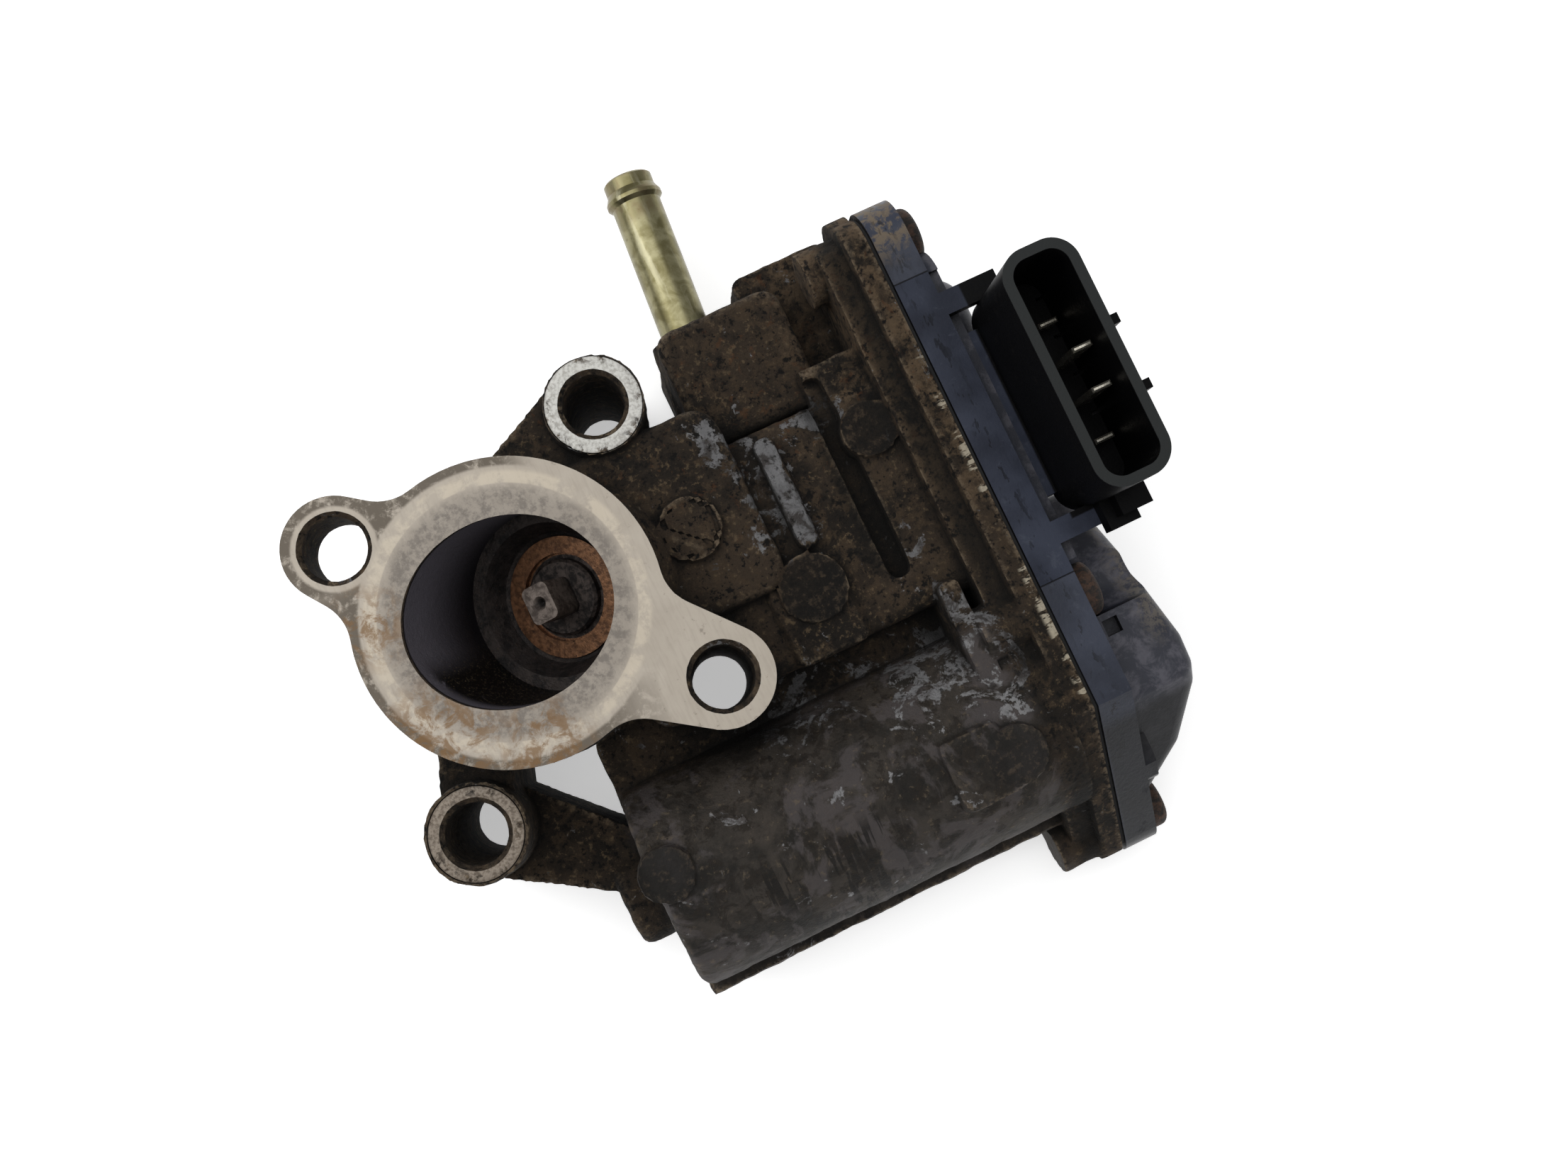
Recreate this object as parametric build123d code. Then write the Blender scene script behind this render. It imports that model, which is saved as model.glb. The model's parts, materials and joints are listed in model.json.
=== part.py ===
from build123d import *
import os
from math import acos, atan2, cos, degrees, hypot, pi, radians, sin, sqrt, tan

# Exhaust gas recirculation valve: a tilted poppet valve in an aluminium casting, opened by a
# brush motor through two gear stages and a slotted cam lever.
# Frame: origin at the centre of the gas outlet on the mounting face, +Z out of the inlet flange,
# +X towards the gear cover. All sizes in millimetres.

# ---------------------------------------------------------------- casting and gas path
FLANGE_Z = 44.0          # inlet flange face above the mounting face
FLANGE_T = 10.0
FLANGE_R = 21.8
PORT_X = 9.0             # centre of the inlet port on the flange face
PORT_R = 13.3
VALVE_TILT = 27.0        # valve axis, from the flange normal towards +X
OUTLET_R = 9.0
OUTLET_DEPTH = 13.0
OUTLET_WALL = 5.0
PASSAGE_R = 6.5
BARREL_WALL = 4.2
PASSAGE_START = (17.5, 22.0)         # x, z where the passage leaves the valve chamber

# mounting holes: two columns, staggered
HOLE_R = 4.5
HOLE_CHAMFER = 0.7
HOLE_DX = 41.0
HOLE_DY = 44.0
HOLE_STAGGER = 5.0
HOLES_X = 11.6
HOLES_Y = -1.4
EAR_R = 7.4
EAR_NECK_R = 11.5
EAR_BLEND = 7.0
BOSS_R = 7.5
BOSS_FACE_Z = 36.0

# cast forms between the valve and the gears: x0, x1, y0, y1 of each in plan, and its top
BLOCK_CORNER = 4.0
BLOCK_EDGE = 2.4
BASE_CORNER = 3.0
PAD_EDGE = 1.4
BLOCK = (20.0, 77.0, -24.5, 10.5)
BLOCK_TOP = 31.5
SHOULDER = (22.0, 47.5, -12.5, 17.0)
SHOULDER_TOP = 34.6
SADDLE = (10.4, 76.0, -44.0, -20.0)
SADDLE_TOP = 23.5
WATER_BLOCK = (44.5, 65.0, 11.0, 30.6)
WATER_TOP = 27.0
BRACKET = (60.0, 76.0, 8.0, 35.2)
BRACKET_TOP = 20.5
SHAFT_WALL = (62.0, 79.0, 8.0, 16.0)
SHAFT_WALL_TOP = 30.5
BASE_PLATE = (12.0, 50.5, -20.5, 16.5)
BASE_PLATE_T = 6.0
CAST_FOOT_Z = 2.0        # underside of the cast forms
BOSS_WEB_R = 5.5
OUTER_WEB = (14.0, 15.0, 6.5)        # x, y, radius of the far end of each web
UPPER_WEB = (21.0, 4.0, 9.0)
LOWER_WEB = (-2.0, -6.0, 5.0)
EAR_WEB = (24.0, -6.0, 8.0)
MOTOR_WEB = (7.0, -39.0, 5.0)
MOTOR_WEB_TOP = 21.0
UPPER_WEB_TOP = 33.0
LOWER_WEB_TOP = 31.0
BARREL_L = 24.0
BARREL_FOOT = (30.0, 13.5)           # x, radius of the cast foot under the valve
BARREL_FOOT_TOP = 26.0
PADS = [(67.8, 3.4, 4.4, 32.6), (49.9, -14.6, 5.3, 33.6), (37.1, 0.7, 4.9, 35.8)]   # x, y, radius, top
HOUSING_PADS = [(65.9, -49.2, 4.4, 1.7), (12.9, -42.8, 4.2, 0.8)]   # x, y, radius, height over the motor housing
PAD_FOOT = 13.0          # length of a pad's column
DATE_PAD = 2             # the pad that carries the date insert
DATE_R = 4.1
DATE_DEPTH = 0.4
DATE_LINE = 0.5
DATE_TURN = -42.0
PAD_BLOCK = (43.2, 54.8, -24.8, -12.0)
PAD_BLOCK_TOP = 32.6
PAD_RIB = (55.5, 65.0, -54.0, -43.0)
PAD_RIB_H = 1.1          # over the motor housing
RIDGES = [(50.6, 54.0, -9.0, 8.7, 33.4), (66.0, 69.6, -46.0, -22.0, 34.6)]   # x0, x1, y0, y1, top
VALLEY = [(62.9, 12.5), (62.9, -17.0), (65.2, -23.8)]
VALLEY_R = 1.7
VALLEY_Z = 28.4
RAIL_W = 2.6             # rail along the motor housing, beyond its side
RAIL_Z0 = 9.5
RAIL_Z1 = 15.0

# ---------------------------------------------------------------- valve, along its own axis
SEAT_TOP = 12.2
SEAT_H = 8.0
SEAT_LIP_R = 11.4
SEAT_BORE_R = 8.0
SEAT_CONE = 3.4          # depth of the mouth above the sealing cone
SEAT_GAP = 0.14          # head to seat, measured along the axis
HEAD_R = 9.1
HEAD_TOP = 15.8
HEAD_RING_W = 2.5
HEAD_RECESS = 0.9
HEAD_T = 2.6
HEAD_EDGE = 0.3          # straight rim above the sealing cone
HUB_R = 5.7
HUB_TOP = 15.2
TANG_X = 4.4
TANG_Y = 5.6
TANG_H = 6.5
STEM_R = 2.5
STEM_CLEARANCE = 0.04
CHAMBER_R = 11.0
CHAMBER_END = 27.0
PYLON_R = 6.4
PYLON_TOP = 22.0
BUSH_R = 4.0
BUSH_TOP = 21.0
BUSH_END = 33.5
SEAL_T = 1.4
SEAL_R = 5.2
SPRING_SEAT = 28.6
SPRING_BORE_R = 8.5
SPRING_WALL = 2.6
SPRING_R = 5.9           # mean radius
SPRING_WIRE_R = 0.55
SPRING_TURNS = 4.5
RETAINER_TOP = 38.4
RETAINER_T = 1.1
RETAINER_R = 6.9
CLIP_T = 0.8
CLIP_R = 4.0
PIN_DEPTH = 42.4
PIN_R = 1.75
PIN_BLIND = 1.5          # pin beyond the stem axis
STEM_END = 45.6
VALVE_LIFT = 4.5
CUT_PAST = 14.0          # how far a cut runs past a face

# ---------------------------------------------------------------- gear train, axes along X
COVER_JOINT_X = 79.5     # casting side of the gear cover
GASKET_T = 0.5
HOUSING_Z = 20.0         # outside of the motor housing
MOTOR_Y = -45.6
MOTOR_Z = 17.0
MOTOR_R = 14.0
MOTOR_X0 = 13.5
MOTOR_WALL = 1.2
HOUSING_EDGE = 1.6
HOUSING_WALL = 2.2
NOSE_R = 7.2
NOSE_L = 6.0             # beyond the end wall of the motor housing
END_WALL = 3.0
MOTOR_FIT = 0.15
MOTOR_SHAFT_R = 1.5
MOTOR_BUSH_R = 2.6
MOTOR_BEARING_R = 4.0
MOTOR_BEARING_L = 3.0
MOTOR_CAP_T = 4.0
MAGNET_T = 2.2
MAGNET_GAP = 10.0        # between the ends of the two magnets
MAGNET_X0 = 21.0
MAGNET_X1 = 60.0
AIR_GAP = 0.6
ARMATURE_SLOTS = 7
ARMATURE_SLOT_D = 4.5
ARMATURE_SLOT_W = 1.6
COMMUTATOR_R = 4.2
COMMUTATOR_X0 = 63.5
COMMUTATOR_X1 = 69.5
BRUSH_SIZE = 3.0
BRUSH_L = 5.5
BRUSH_GAP = 0.1
HOLDER_WALL = 1.0
PLATE_T = 2.5
PLATE_IDLER_R = 6.0
PLATE_SCREW_R = 1.25
PLATE_SCREW_L = 5.0
PLATE_HEAD_R = 2.4
PLATE_HEAD_H = 1.4
PLATE_SCREWS = [(-58.6, 4.6), (-33.4, 4.6), (-27.6, 20.0)]
PRESSURE_ANGLE = 25.0
ADDENDUM = 0.9
DEDENDUM = 1.2
BACKLASH = 0.09
MODULE_1 = 0.6           # motor pinion and large intermediate gear
PINION_TEETH = 14
LARGE_TEETH = 36
MODULE_2 = 0.8           # small intermediate gear and sector
SMALL_TEETH = 12
SECTOR_TEETH = 46        # on the full circle
SECTOR_SPAN = 62.0       # degrees that carry teeth
IDLER_Z = 14.2
FINAL_Z = 19.5
SWING = 44.0             # degrees of cam lever travel
SECTOR_X0 = 80.3
SECTOR_T = 4.4
LARGE_X0 = 86.2
LARGE_T = 3.2
IDLER_PIN_R = 2.0
IDLER_PIN_END = 93.4
PIN_HOLE_FIT = 0.01
CAM_SHAFT_R = 3.5
CAM_X0 = 36.6
CAM_T = 5.0
CAM_WALL = 1.9
SLOT_CLEARANCE = 0.05
CAM_HUB_R = 5.0
CHAMBER_GAP = 0.5         # cam lever to its chamber, along X and below the hub
CAM_CHAMBER_Y1 = 11.5
SECTOR_HUB_R = 6.5
PINION_X0 = 85.8
PINION_X1 = 90.2
MAGNET_HOLDER_R = 6.0
MAGNET_HOLDER_T = 2.6
MAGNET_R = 4.0
BEARING_R = 7.0
BEARING_T = 5.0
RACE_WALL = 1.0
SEAL_RECESS = 0.4
SHAFT_BUSH_R = 5.0
SHAFT_BUSH_L = 8.0
RUN_CLEARANCE = 0.04     # radial, shaft in bush

# ---------------------------------------------------------------- gear cover and connector
COVER_FLANGE_T = 5.5
COVER_TOP_Z = 37.0
COVER_BOTTOM_Z = 0.2
COVER_Y1 = 34.0
COVER_Y0 = -73.5
COVER_CORNER_Y = -48.0
COVER_CORNER_Z = 11.5
COVER_CORNER_R = 6.5
COVER_WALL = 2.0
CASTING_INSET = 0.7
FLANGE_PLATE_T = 3.5     # gear flange of the casting
FLANGE_STEP = 2.2
FLANGE_STEP_T = 4.0
FLANGE_LOBES = [(29.6, 27.0, 5.6), (-68.0, 8.6, 5.4)]     # y, z, radius
CAVITY_WIDE = (-27.3, 22.4)          # y0, y1 of the sector's room
CAVITY_LOW = (-61.5, -20.0)          # y0, y1 of the pinion's room
CAVITY_LOW_TOP = 22.5
CAVITY_RIM = 1.1
CAVITY_ROOF = 3.6
CAVITY_CORNER = 3.0
SWEEP_GAP = 0.5          # sector teeth to the cavity wall
HEAD_WALL_GAP = 0.6      # screw head rim to the cavity
DOME_X = 97.6
DOME_Z0 = 1.2
DOME_TOP = 31.0
DOME_FRONT = [(-17.0, DOME_Z0), (-17.0, 21.5), (-30.5, DOME_TOP), (-49.5, DOME_TOP), (-66.0, 14.5), (-66.0, DOME_Z0)]
DOME_SIDE = [(-17.0, 3.4), (-33.0, 2.3), (-44.5, 0.0), (-51.0, 0.3), (-59.5, 4.4), (-66.0, 11.4)]  # y, drop from DOME_X
DOME_EDGE = 3.0
DOME_WINDOW = (86.9, 89.4, -40.1, -37.6)     # latch window in the top: x0, x1, y0, y1
WINDOW_DEPTH = 1.6
SECTOR_DOME = (-17.5, 21.5, 4.0, 29.2)       # raised part over the sector gear: y0, y1, z0, z1
SECTOR_DOME_X = 91.2
SECTOR_DOME_EDGE = 4.4
SECTOR_DOME_CORNER = 6.0
PINION_ROOM_R = 7.0
HEAD_GAP = 0.35          # screw head to its pocket
SENSOR_BULGE_R = 9.6
SENSOR_BULGE_X = 90.2
BULGE_EDGE = 1.5
BULGE_WALL = 1.4
CHIP_SIZE = 8.0
CHIP_T = 0.7
PLATE_INSET = 0.3
SCREW_R = 2.0
SCREW_HEAD_R = 4.3
SCREW_HEAD_H = 3.0
SCREW_DEPTH = 9.0
SCREW_EDGE = 1.3
SOCKET_R = 2.0
SOCKET_DEPTH = 1.8
SCREW_CLEARANCE = 0.2
SCREW_WALL = 2.4
DOME_GAP = 0.4            # gears to the inside of the dome
COVER_SCREWS = [(28.2, 28.6), (28.4, 7.0), (-32.0, 31.6), (-68.2, 9.2), (14.0, 6.6)]
CARRIER_Y0 = -28.9
CARRIER_Y1 = 20.3
CARRIER_T = 2.5
SHROUD_X0 = 88.6
SHROUD_X1 = 100.0
SHROUD_Y0 = -21.5
SHROUD_Y1 = 14.0
SHROUD_TOP = 56.0
SHROUD_FLOOR = 38.0
SHROUD_WALL = 1.5
SHROUD_CORNER = 4.2
SHROUD_BASE = 6.0        # wall below the socket's floor
THROAT_INSET = 1.2
ARM_OFFSETS = (2.9, 0.9)
ARM_T = 3.5
ARM_X1 = 94.0
THROAT_Z = 29.5          # underside of the connector's throat
LATCH_STEPS = [(93.4, 98.2, -24.6, 40.2, 43.4), (91.8, 96.6, -26.0, 37.0, 40.2)]   # x0, x1, y0, z0, z1
LATCH_RIBS = [0.7, -9.5]
LATCH_RIB_W = 1.5
LATCH_RIB_L = 3.4
LATCH_RIB_Z = (39.0, 49.5)
SLIT_OFFSET = 3.9
SLIT_W = 0.6
SLIT_L = 1.1
BLADE_X = 96.5
BLADE_W = 3.0
BLADE_T = 0.8
BLADE_PITCH = 6.2
BLADE_Y = -13.4
BLADE_TOPS = [41.5, 50.5, 50.5, 41.5]
BLADE_FOOT_Z = 30.5
BLADE_TIP = 0.25

# ---------------------------------------------------------------- coolant pipe
PIPE_X = 50.8
PIPE_Y = 31.0            # where the pipe leaves the casting
PIPE_Z = 15.0
PIPE_YAW = 4.4           # degrees towards +X
PIPE_R = 4.0
PIPE_BORE_R = 3.1
PIPE_LENGTH = 27.5       # outside the casting
PIPE_INSERT = 12.0
BEAD_R = 4.6
BEAD_BACK = 4.5          # start of the bead, from the pipe's end
PIPE_COLLAR_R = 6.2
PIPE_COLLAR_L = 14.0
GALLERY_DROP = 15.0      # from the pipe's seat mouth to the drilling, along Y

# ---------------------------------------------------------------- cam chamber lid, in the mounting face
LID_T = 1.2
LID_RECESS = 0.3         # lid face above the mounting face
LID_LIP = 1.6            # ledge round the chamber
LID_FIT = 0.1
LID_SCREW_R = 1.25
LID_SCREW_HEAD_R = 2.3
LID_SCREW_L = 6.5
LID_CORNER = 2.6
SLOT_W = 0.6             # driver slots
LID_SCREWS = [(15.6, 10.2), (15.6, -10.2), (45.6, 9.0), (45.6, -9.6)]
PIN_ROOM = 0.6           # pin to the wall of its slot in the casting
STEM_ROOM_Y = 9.5        # half width of the room round the stem end
STEM_ROOM_X0 = 19.0
STEM_ROOM_TOP = 9.0

# ---------------------------------------------------------------- derived values
TILT = radians(VALVE_TILT)
VALVE_PLANE = Plane(origin=(PORT_X, 0, FLANGE_Z), x_dir=(cos(TILT), 0, sin(TILT)),
                    z_dir=(sin(TILT), 0, -cos(TILT)))
EARS = [(HOLES_X - HOLE_DX / 2, HOLES_Y - HOLE_STAGGER / 2 + HOLE_DY / 2),
        (HOLES_X + HOLE_DX / 2, HOLES_Y + HOLE_STAGGER / 2 - HOLE_DY / 2)]
BOSSES = [(HOLES_X + HOLE_DX / 2, HOLES_Y + HOLE_STAGGER / 2 + HOLE_DY / 2),
          (HOLES_X - HOLE_DX / 2, HOLES_Y - HOLE_STAGGER / 2 - HOLE_DY / 2)]
STAGE_1 = MODULE_1 * (PINION_TEETH + LARGE_TEETH) / 2
STAGE_2 = MODULE_2 * (SMALL_TEETH + SECTOR_TEETH) / 2
IDLER_Y = MOTOR_Y + sqrt(STAGE_1 ** 2 - (MOTOR_Z - IDLER_Z) ** 2)
FINAL_Y = IDLER_Y + sqrt(STAGE_2 ** 2 - (FINAL_Z - IDLER_Z) ** 2)
COVER_FACE_X = COVER_JOINT_X + COVER_FLANGE_T
CASTING_FACE_X = COVER_JOINT_X - GASKET_T
CHAMBER_FLOOR_X = CASTING_FACE_X - FLANGE_PLATE_T
MOTOR_HOUSING_R = MOTOR_R + MOTOR_FIT + HOUSING_WALL
HOUSING_TOP = HOUSING_Z + MOTOR_HOUSING_R
COVER_PLATE_X = COVER_FACE_X + COVER_WALL
PIN_Z = FLANGE_Z - PIN_DEPTH * cos(TILT)
PIN_X = PORT_X + PIN_DEPTH * sin(TILT)
RISE = VALVE_LIFT * cos(TILT)
PIPE_AXIS = (sin(radians(PIPE_YAW)), cos(radians(PIPE_YAW)), 0)
LID_TOP = LID_RECESS + LID_T
TO_IDLER = atan2(IDLER_Z - FINAL_Z, IDLER_Y - FINAL_Y)
TO_MOTOR = atan2(MOTOR_Z - IDLER_Z, MOTOR_Y - IDLER_Y)


# ---------------------------------------------------------------- helpers
def plane_x(x, y=0.0, z=0.0):
    """Plane square to X: its first axis is +Y and its second is +Z."""
    return Plane(origin=(x, y, z), x_dir=(0, 1, 0), z_dir=(1, 0, 0))


def along_x(sketch, x0, x1):
    return extrude(plane_x(x0) * sketch, x1 - x0)


def rod_x(y, z, r, x0, x1):
    return along_x(Pos(y, z) * Circle(r), x0, x1)


def prism(sketch, z0, z1):
    return extrude(Plane.XY.offset(z0) * sketch, z1 - z0)


def rod_z(x, y, r, z0, z1):
    return prism(Pos(x, y) * Circle(r), z0, z1)


def block(x0, x1, y0, y1, z0, z1):
    return Pos((x0 + x1) / 2, (y0 + y1) / 2, (z0 + z1) / 2) * Box(x1 - x0, y1 - y0, z1 - z0)


def rect(x0, x1, y0, y1):
    return Pos((x0 + x1) / 2, (y0 + y1) / 2) * Rectangle(x1 - x0, y1 - y0)


def rounded(x0, x1, y0, y1, r):
    return Pos((x0 + x1) / 2, (y0 + y1) / 2) * RectangleRounded(x1 - x0, y1 - y0, r)


def hull(*sketches):
    edges = ShapeList()
    for sketch in sketches:
        edges.extend(sketch.edges())
    return make_hull(edges)


def turned(points):
    """Solid of revolution about the valve axis from (radius, depth) corners."""
    face = make_face(Polyline(*[(r, 0, t) for r, t in points], close=True))
    return VALVE_PLANE * revolve(face, Axis.Z, 360)


def valve_rod(r, t0, t1):
    return turned([(0, t0), (r, t0), (r, t1), (0, t1)])


def valve_tube(r0, r1, t0, t1):
    return turned([(r0, t0), (r1, t0), (r1, t1), (r0, t1)])


def polar(r, angle):
    return (r * cos(angle), r * sin(angle))


# ---------------------------------------------------------------- casting
def cover_outline(inset=0.0):
    """Outline of the gear cover in the (y, z) plane."""
    corners = [(COVER_Y1 - inset, COVER_TOP_Z - inset), (COVER_CORNER_Y, COVER_TOP_Z - inset),
               (COVER_Y0 + inset, COVER_CORNER_Z), (COVER_Y0 + inset, COVER_BOTTOM_Z + inset),
               (COVER_Y1 - inset, COVER_BOTTOM_Z + inset)]
    face = make_face(Polyline(*corners, close=True))
    ends = face.vertices().sort_by(Axis.X)
    return fillet(ends[0:2] + ends[-2:], COVER_CORNER_R - inset)


def gear_cavity():
    """Space for the gears at the joint, in the (y, z) plane."""
    floor, roof = COVER_BOTTOM_Z + CAVITY_RIM, COVER_TOP_Z - CAVITY_ROOF
    wide = rounded(*CAVITY_WIDE, floor, roof, CAVITY_CORNER)
    low = rounded(*CAVITY_LOW, floor, CAVITY_LOW_TOP, CAVITY_CORNER)
    tip = MODULE_2 * (SECTOR_TEETH / 2 + ADDENDUM)
    swept = Pos(FINAL_Y, FINAL_Z) * Circle(tip + SWEEP_GAP) & rect(CAVITY_LOW[0], CAVITY_WIDE[1], floor, roof)
    room = wide + low + swept
    for place in COVER_SCREWS:
        room -= Pos(*place) * Circle(SCREW_HEAD_R + HEAD_WALL_GAP)
    return room


def flange_outline():
    ring = Pos(PORT_X, 0) * Circle(FLANGE_R)
    face = ring
    for x, y in EARS:
        face += hull(Pos(x, y) * Circle(EAR_R), Pos(PORT_X, 0) * Circle(EAR_NECK_R))
    necks = [v for v in face.vertices() if abs(hypot(v.X - PORT_X, v.Y) - FLANGE_R) < 0.05]
    return fillet(necks, EAR_BLEND)


def motor_housing():
    outline = hull(Pos(MOTOR_Y, HOUSING_Z) * Circle(MOTOR_HOUSING_R), Pos(MOTOR_Y, MOTOR_Z) * Circle(MOTOR_HOUSING_R))
    shell = along_x(outline, MOTOR_X0 - END_WALL, CHAMBER_FLOOR_X)
    shell = fillet(shell.faces().sort_by(Axis.X)[0].edges(), HOUSING_EDGE)
    nose = rod_x(MOTOR_Y, MOTOR_Z, NOSE_R, MOTOR_X0 - END_WALL - NOSE_L, MOTOR_X0)
    nose = fillet(nose.edges().sort_by(Axis.X)[0], HOUSING_EDGE)
    edge = MOTOR_Y - MOTOR_HOUSING_R - RAIL_W
    rail = along_x(rounded(edge, MOTOR_Y - MOTOR_R, RAIL_Z0, RAIL_Z1, RAIL_W / 3), MOTOR_X0 - END_WALL, CHAMBER_FLOOR_X)
    return shell + nose + rail


def valve_barrel():
    barrel = valve_rod(PORT_R + BARREL_WALL, 0, BARREL_L)
    outlet = rod_z(0, 0, OUTLET_R + OUTLET_WALL, 0, FLANGE_Z - FLANGE_T)
    foot_x, foot_r = BARREL_FOOT
    base = prism(hull(Circle(OUTLET_R + OUTLET_WALL), Pos(foot_x, 0) * Circle(foot_r)), 0, BARREL_FOOT_TOP)
    base += prism(rounded(*BASE_PLATE, BASE_CORNER), 0, BASE_PLATE_T)
    above = prism(Pos(PORT_X, 0) * Circle(2 * FLANGE_R), FLANGE_Z - FLANGE_T / 2, FLANGE_Z + BARREL_L)
    return outlet + base + (barrel - above)


def web(start, start_r, end, z0, z1):
    """Upright web between two columns; the end is given as x, y, radius."""
    return prism(hull(Pos(*start) * Circle(start_r), Pos(*end[:2]) * Circle(end[2])), z0, z1)


def bolt_columns():
    body = rod_z(*EARS[1], BOSS_R, 0, FLANGE_Z - FLANGE_T)
    for boss in BOSSES:
        body += rod_z(*boss, BOSS_R, 0, BOSS_FACE_Z)
    body += web(BOSSES[0], BOSS_WEB_R, UPPER_WEB, 0, UPPER_WEB_TOP)
    body += web(BOSSES[0], BOSS_R, OUTER_WEB, CAST_FOOT_Z, UPPER_WEB_TOP)
    body += web(BOSSES[1], BOSS_WEB_R, LOWER_WEB, 0, LOWER_WEB_TOP)
    body += web(BOSSES[1], BOSS_R, MOTOR_WEB, CAST_FOOT_Z, MOTOR_WEB_TOP)
    body += web(EARS[1], BOSS_WEB_R, EAR_WEB, 0, LOWER_WEB_TOP)
    return body


def cast_block(place, corner, z0, z1, edge):
    """Upright block with a rounded rim; place is x0, x1, y0, y1."""
    body = prism(rounded(*place, corner), z0, z1)
    return fillet(body.faces().sort_by(Axis.Z)[-1].edges(), edge)


def gearbox_block():
    """Cast block between the valve and the gear flange, with its valley."""
    body = cast_block(BLOCK, BLOCK_CORNER, CAST_FOOT_Z, BLOCK_TOP, BLOCK_EDGE)
    body += cast_block(SHOULDER, BLOCK_CORNER, CAST_FOOT_Z, SHOULDER_TOP, PAD_EDGE)
    body += prism(rounded(*SADDLE, BASE_CORNER), CAST_FOOT_Z + 0.2, SADDLE_TOP)
    body += cast_block(WATER_BLOCK, BASE_CORNER, 0, WATER_TOP, PAD_EDGE)
    body += cast_block(BRACKET, PAD_EDGE, CAST_FOOT_Z, BRACKET_TOP, PAD_EDGE / 2)
    body += prism(rect(*SHAFT_WALL), CAST_FOOT_Z, SHAFT_WALL_TOP)
    for near, far in zip(VALLEY, VALLEY[1:]):
        body -= prism(hull(Pos(*near) * Circle(VALLEY_R), Pos(*far) * Circle(VALLEY_R)), VALLEY_Z, SHOULDER_TOP)
    return body


def casting_pads():
    pads = cast_block(PAD_BLOCK, PAD_EDGE, PAD_BLOCK_TOP - PAD_FOOT, PAD_BLOCK_TOP, PAD_EDGE / 2)
    pads += cast_block(PAD_RIB, PAD_EDGE, HOUSING_TOP + PAD_RIB_H - PAD_FOOT, HOUSING_TOP + PAD_RIB_H, PAD_EDGE / 2)
    for x, y, r, top in PADS:
        pads += rod_z(x, y, r, top - PAD_FOOT, top)
    for x, y, r, height in HOUSING_PADS:
        pads += rod_z(x, y, r, HOUSING_TOP + height - PAD_FOOT, HOUSING_TOP + height)
    for x0, x1, y0, y1, top in RIDGES:
        pads += cast_block((x0, x1, y0, y1), PAD_EDGE, top - PAD_FOOT, top, PAD_EDGE / 2)
    x, y, r, top = PADS[DATE_PAD]
    ring = Circle(DATE_R) - Circle(DATE_R - DATE_LINE)
    mark = ring + Pos(0, -DATE_R / 4) * Rectangle(2 * DATE_R, DATE_LINE)
    return pads - Pos(x, y) * Rot(0, 0, DATE_TURN) * prism(mark, top - DATE_DEPTH, top + 1)


def gear_flange():
    outline = cover_outline(CASTING_INSET)
    back = cover_outline(CASTING_INSET + FLANGE_STEP)
    for y, z, r in FLANGE_LOBES:
        outline += Pos(y, z) * Circle(r)
    plate = along_x(outline, CHAMBER_FLOOR_X, CASTING_FACE_X)
    plate += along_x(back, CHAMBER_FLOOR_X - FLANGE_STEP_T, CHAMBER_FLOOR_X)
    for y, z in COVER_SCREWS:
        plate += rod_x(y, z, SCREW_R + SCREW_WALL, COVER_JOINT_X - SCREW_DEPTH - 1.5, CHAMBER_FLOOR_X)
    for y, z in PLATE_SCREWS:
        plate += rod_x(y, z, PLATE_SCREW_R + SCREW_WALL - 0.5, CHAMBER_FLOOR_X - PLATE_SCREW_L - 2.0, CHAMBER_FLOOR_X)
    return plate


def pipe_location():
    return Plane(origin=(PIPE_X, PIPE_Y, PIPE_Z), z_dir=PIPE_AXIS)


def gas_path():
    """Tilted port, valve chamber round the guide pylon, and the passage down to the outlet."""
    port = valve_rod(PORT_R, -CUT_PAST, SEAT_TOP + SEAT_H)
    chamber = valve_rod(CHAMBER_R, SEAT_TOP + SEAT_H - 1, CHAMBER_END)
    chamber -= valve_rod(PYLON_R, PYLON_TOP, CHAMBER_END + 1)
    start_x, start_z = PASSAGE_START
    length = hypot(start_x, start_z) - OUTLET_R / 2
    axis = Plane(origin=(start_x, 0, start_z), z_dir=(-start_x, 0, -start_z))
    passage = axis * Pos(0, 0, length / 2) * Cylinder(PASSAGE_R, length)
    passage -= valve_rod(SPRING_BORE_R + SPRING_WALL, CHAMBER_END, STEM_END + CUT_PAST)
    passage -= valve_rod(PYLON_R, PYLON_TOP - SEAT_TOP, STEM_END + CUT_PAST)
    passage -= prism(Circle(2 * OUTLET_R), -CUT_PAST, OUTLET_DEPTH - OUTLET_WALL)
    return port + chamber + passage + rod_z(0, 0, OUTLET_R, -1, OUTLET_DEPTH)


def bolt_holes():
    holes = []
    for places, top in ((EARS, FLANGE_Z), (BOSSES, BOSS_FACE_Z)):
        for x, y in places:
            holes.append(rod_z(x, y, HOLE_R, -1, top + 1))
            holes.append(Pos(x, y, top - HOLE_CHAMFER / 2) * Cone(HOLE_R, HOLE_R + HOLE_CHAMFER, HOLE_CHAMFER))
    return holes


def motor_bore():
    bore = rod_x(MOTOR_Y, MOTOR_Z, MOTOR_R + MOTOR_FIT, MOTOR_X0 - MOTOR_FIT, COVER_JOINT_X)
    return bore + rod_x(MOTOR_Y, MOTOR_Z, MOTOR_BEARING_R + MOTOR_FIT, MOTOR_X0 - 2 * MOTOR_BEARING_L, MOTOR_X0 + 1)


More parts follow.
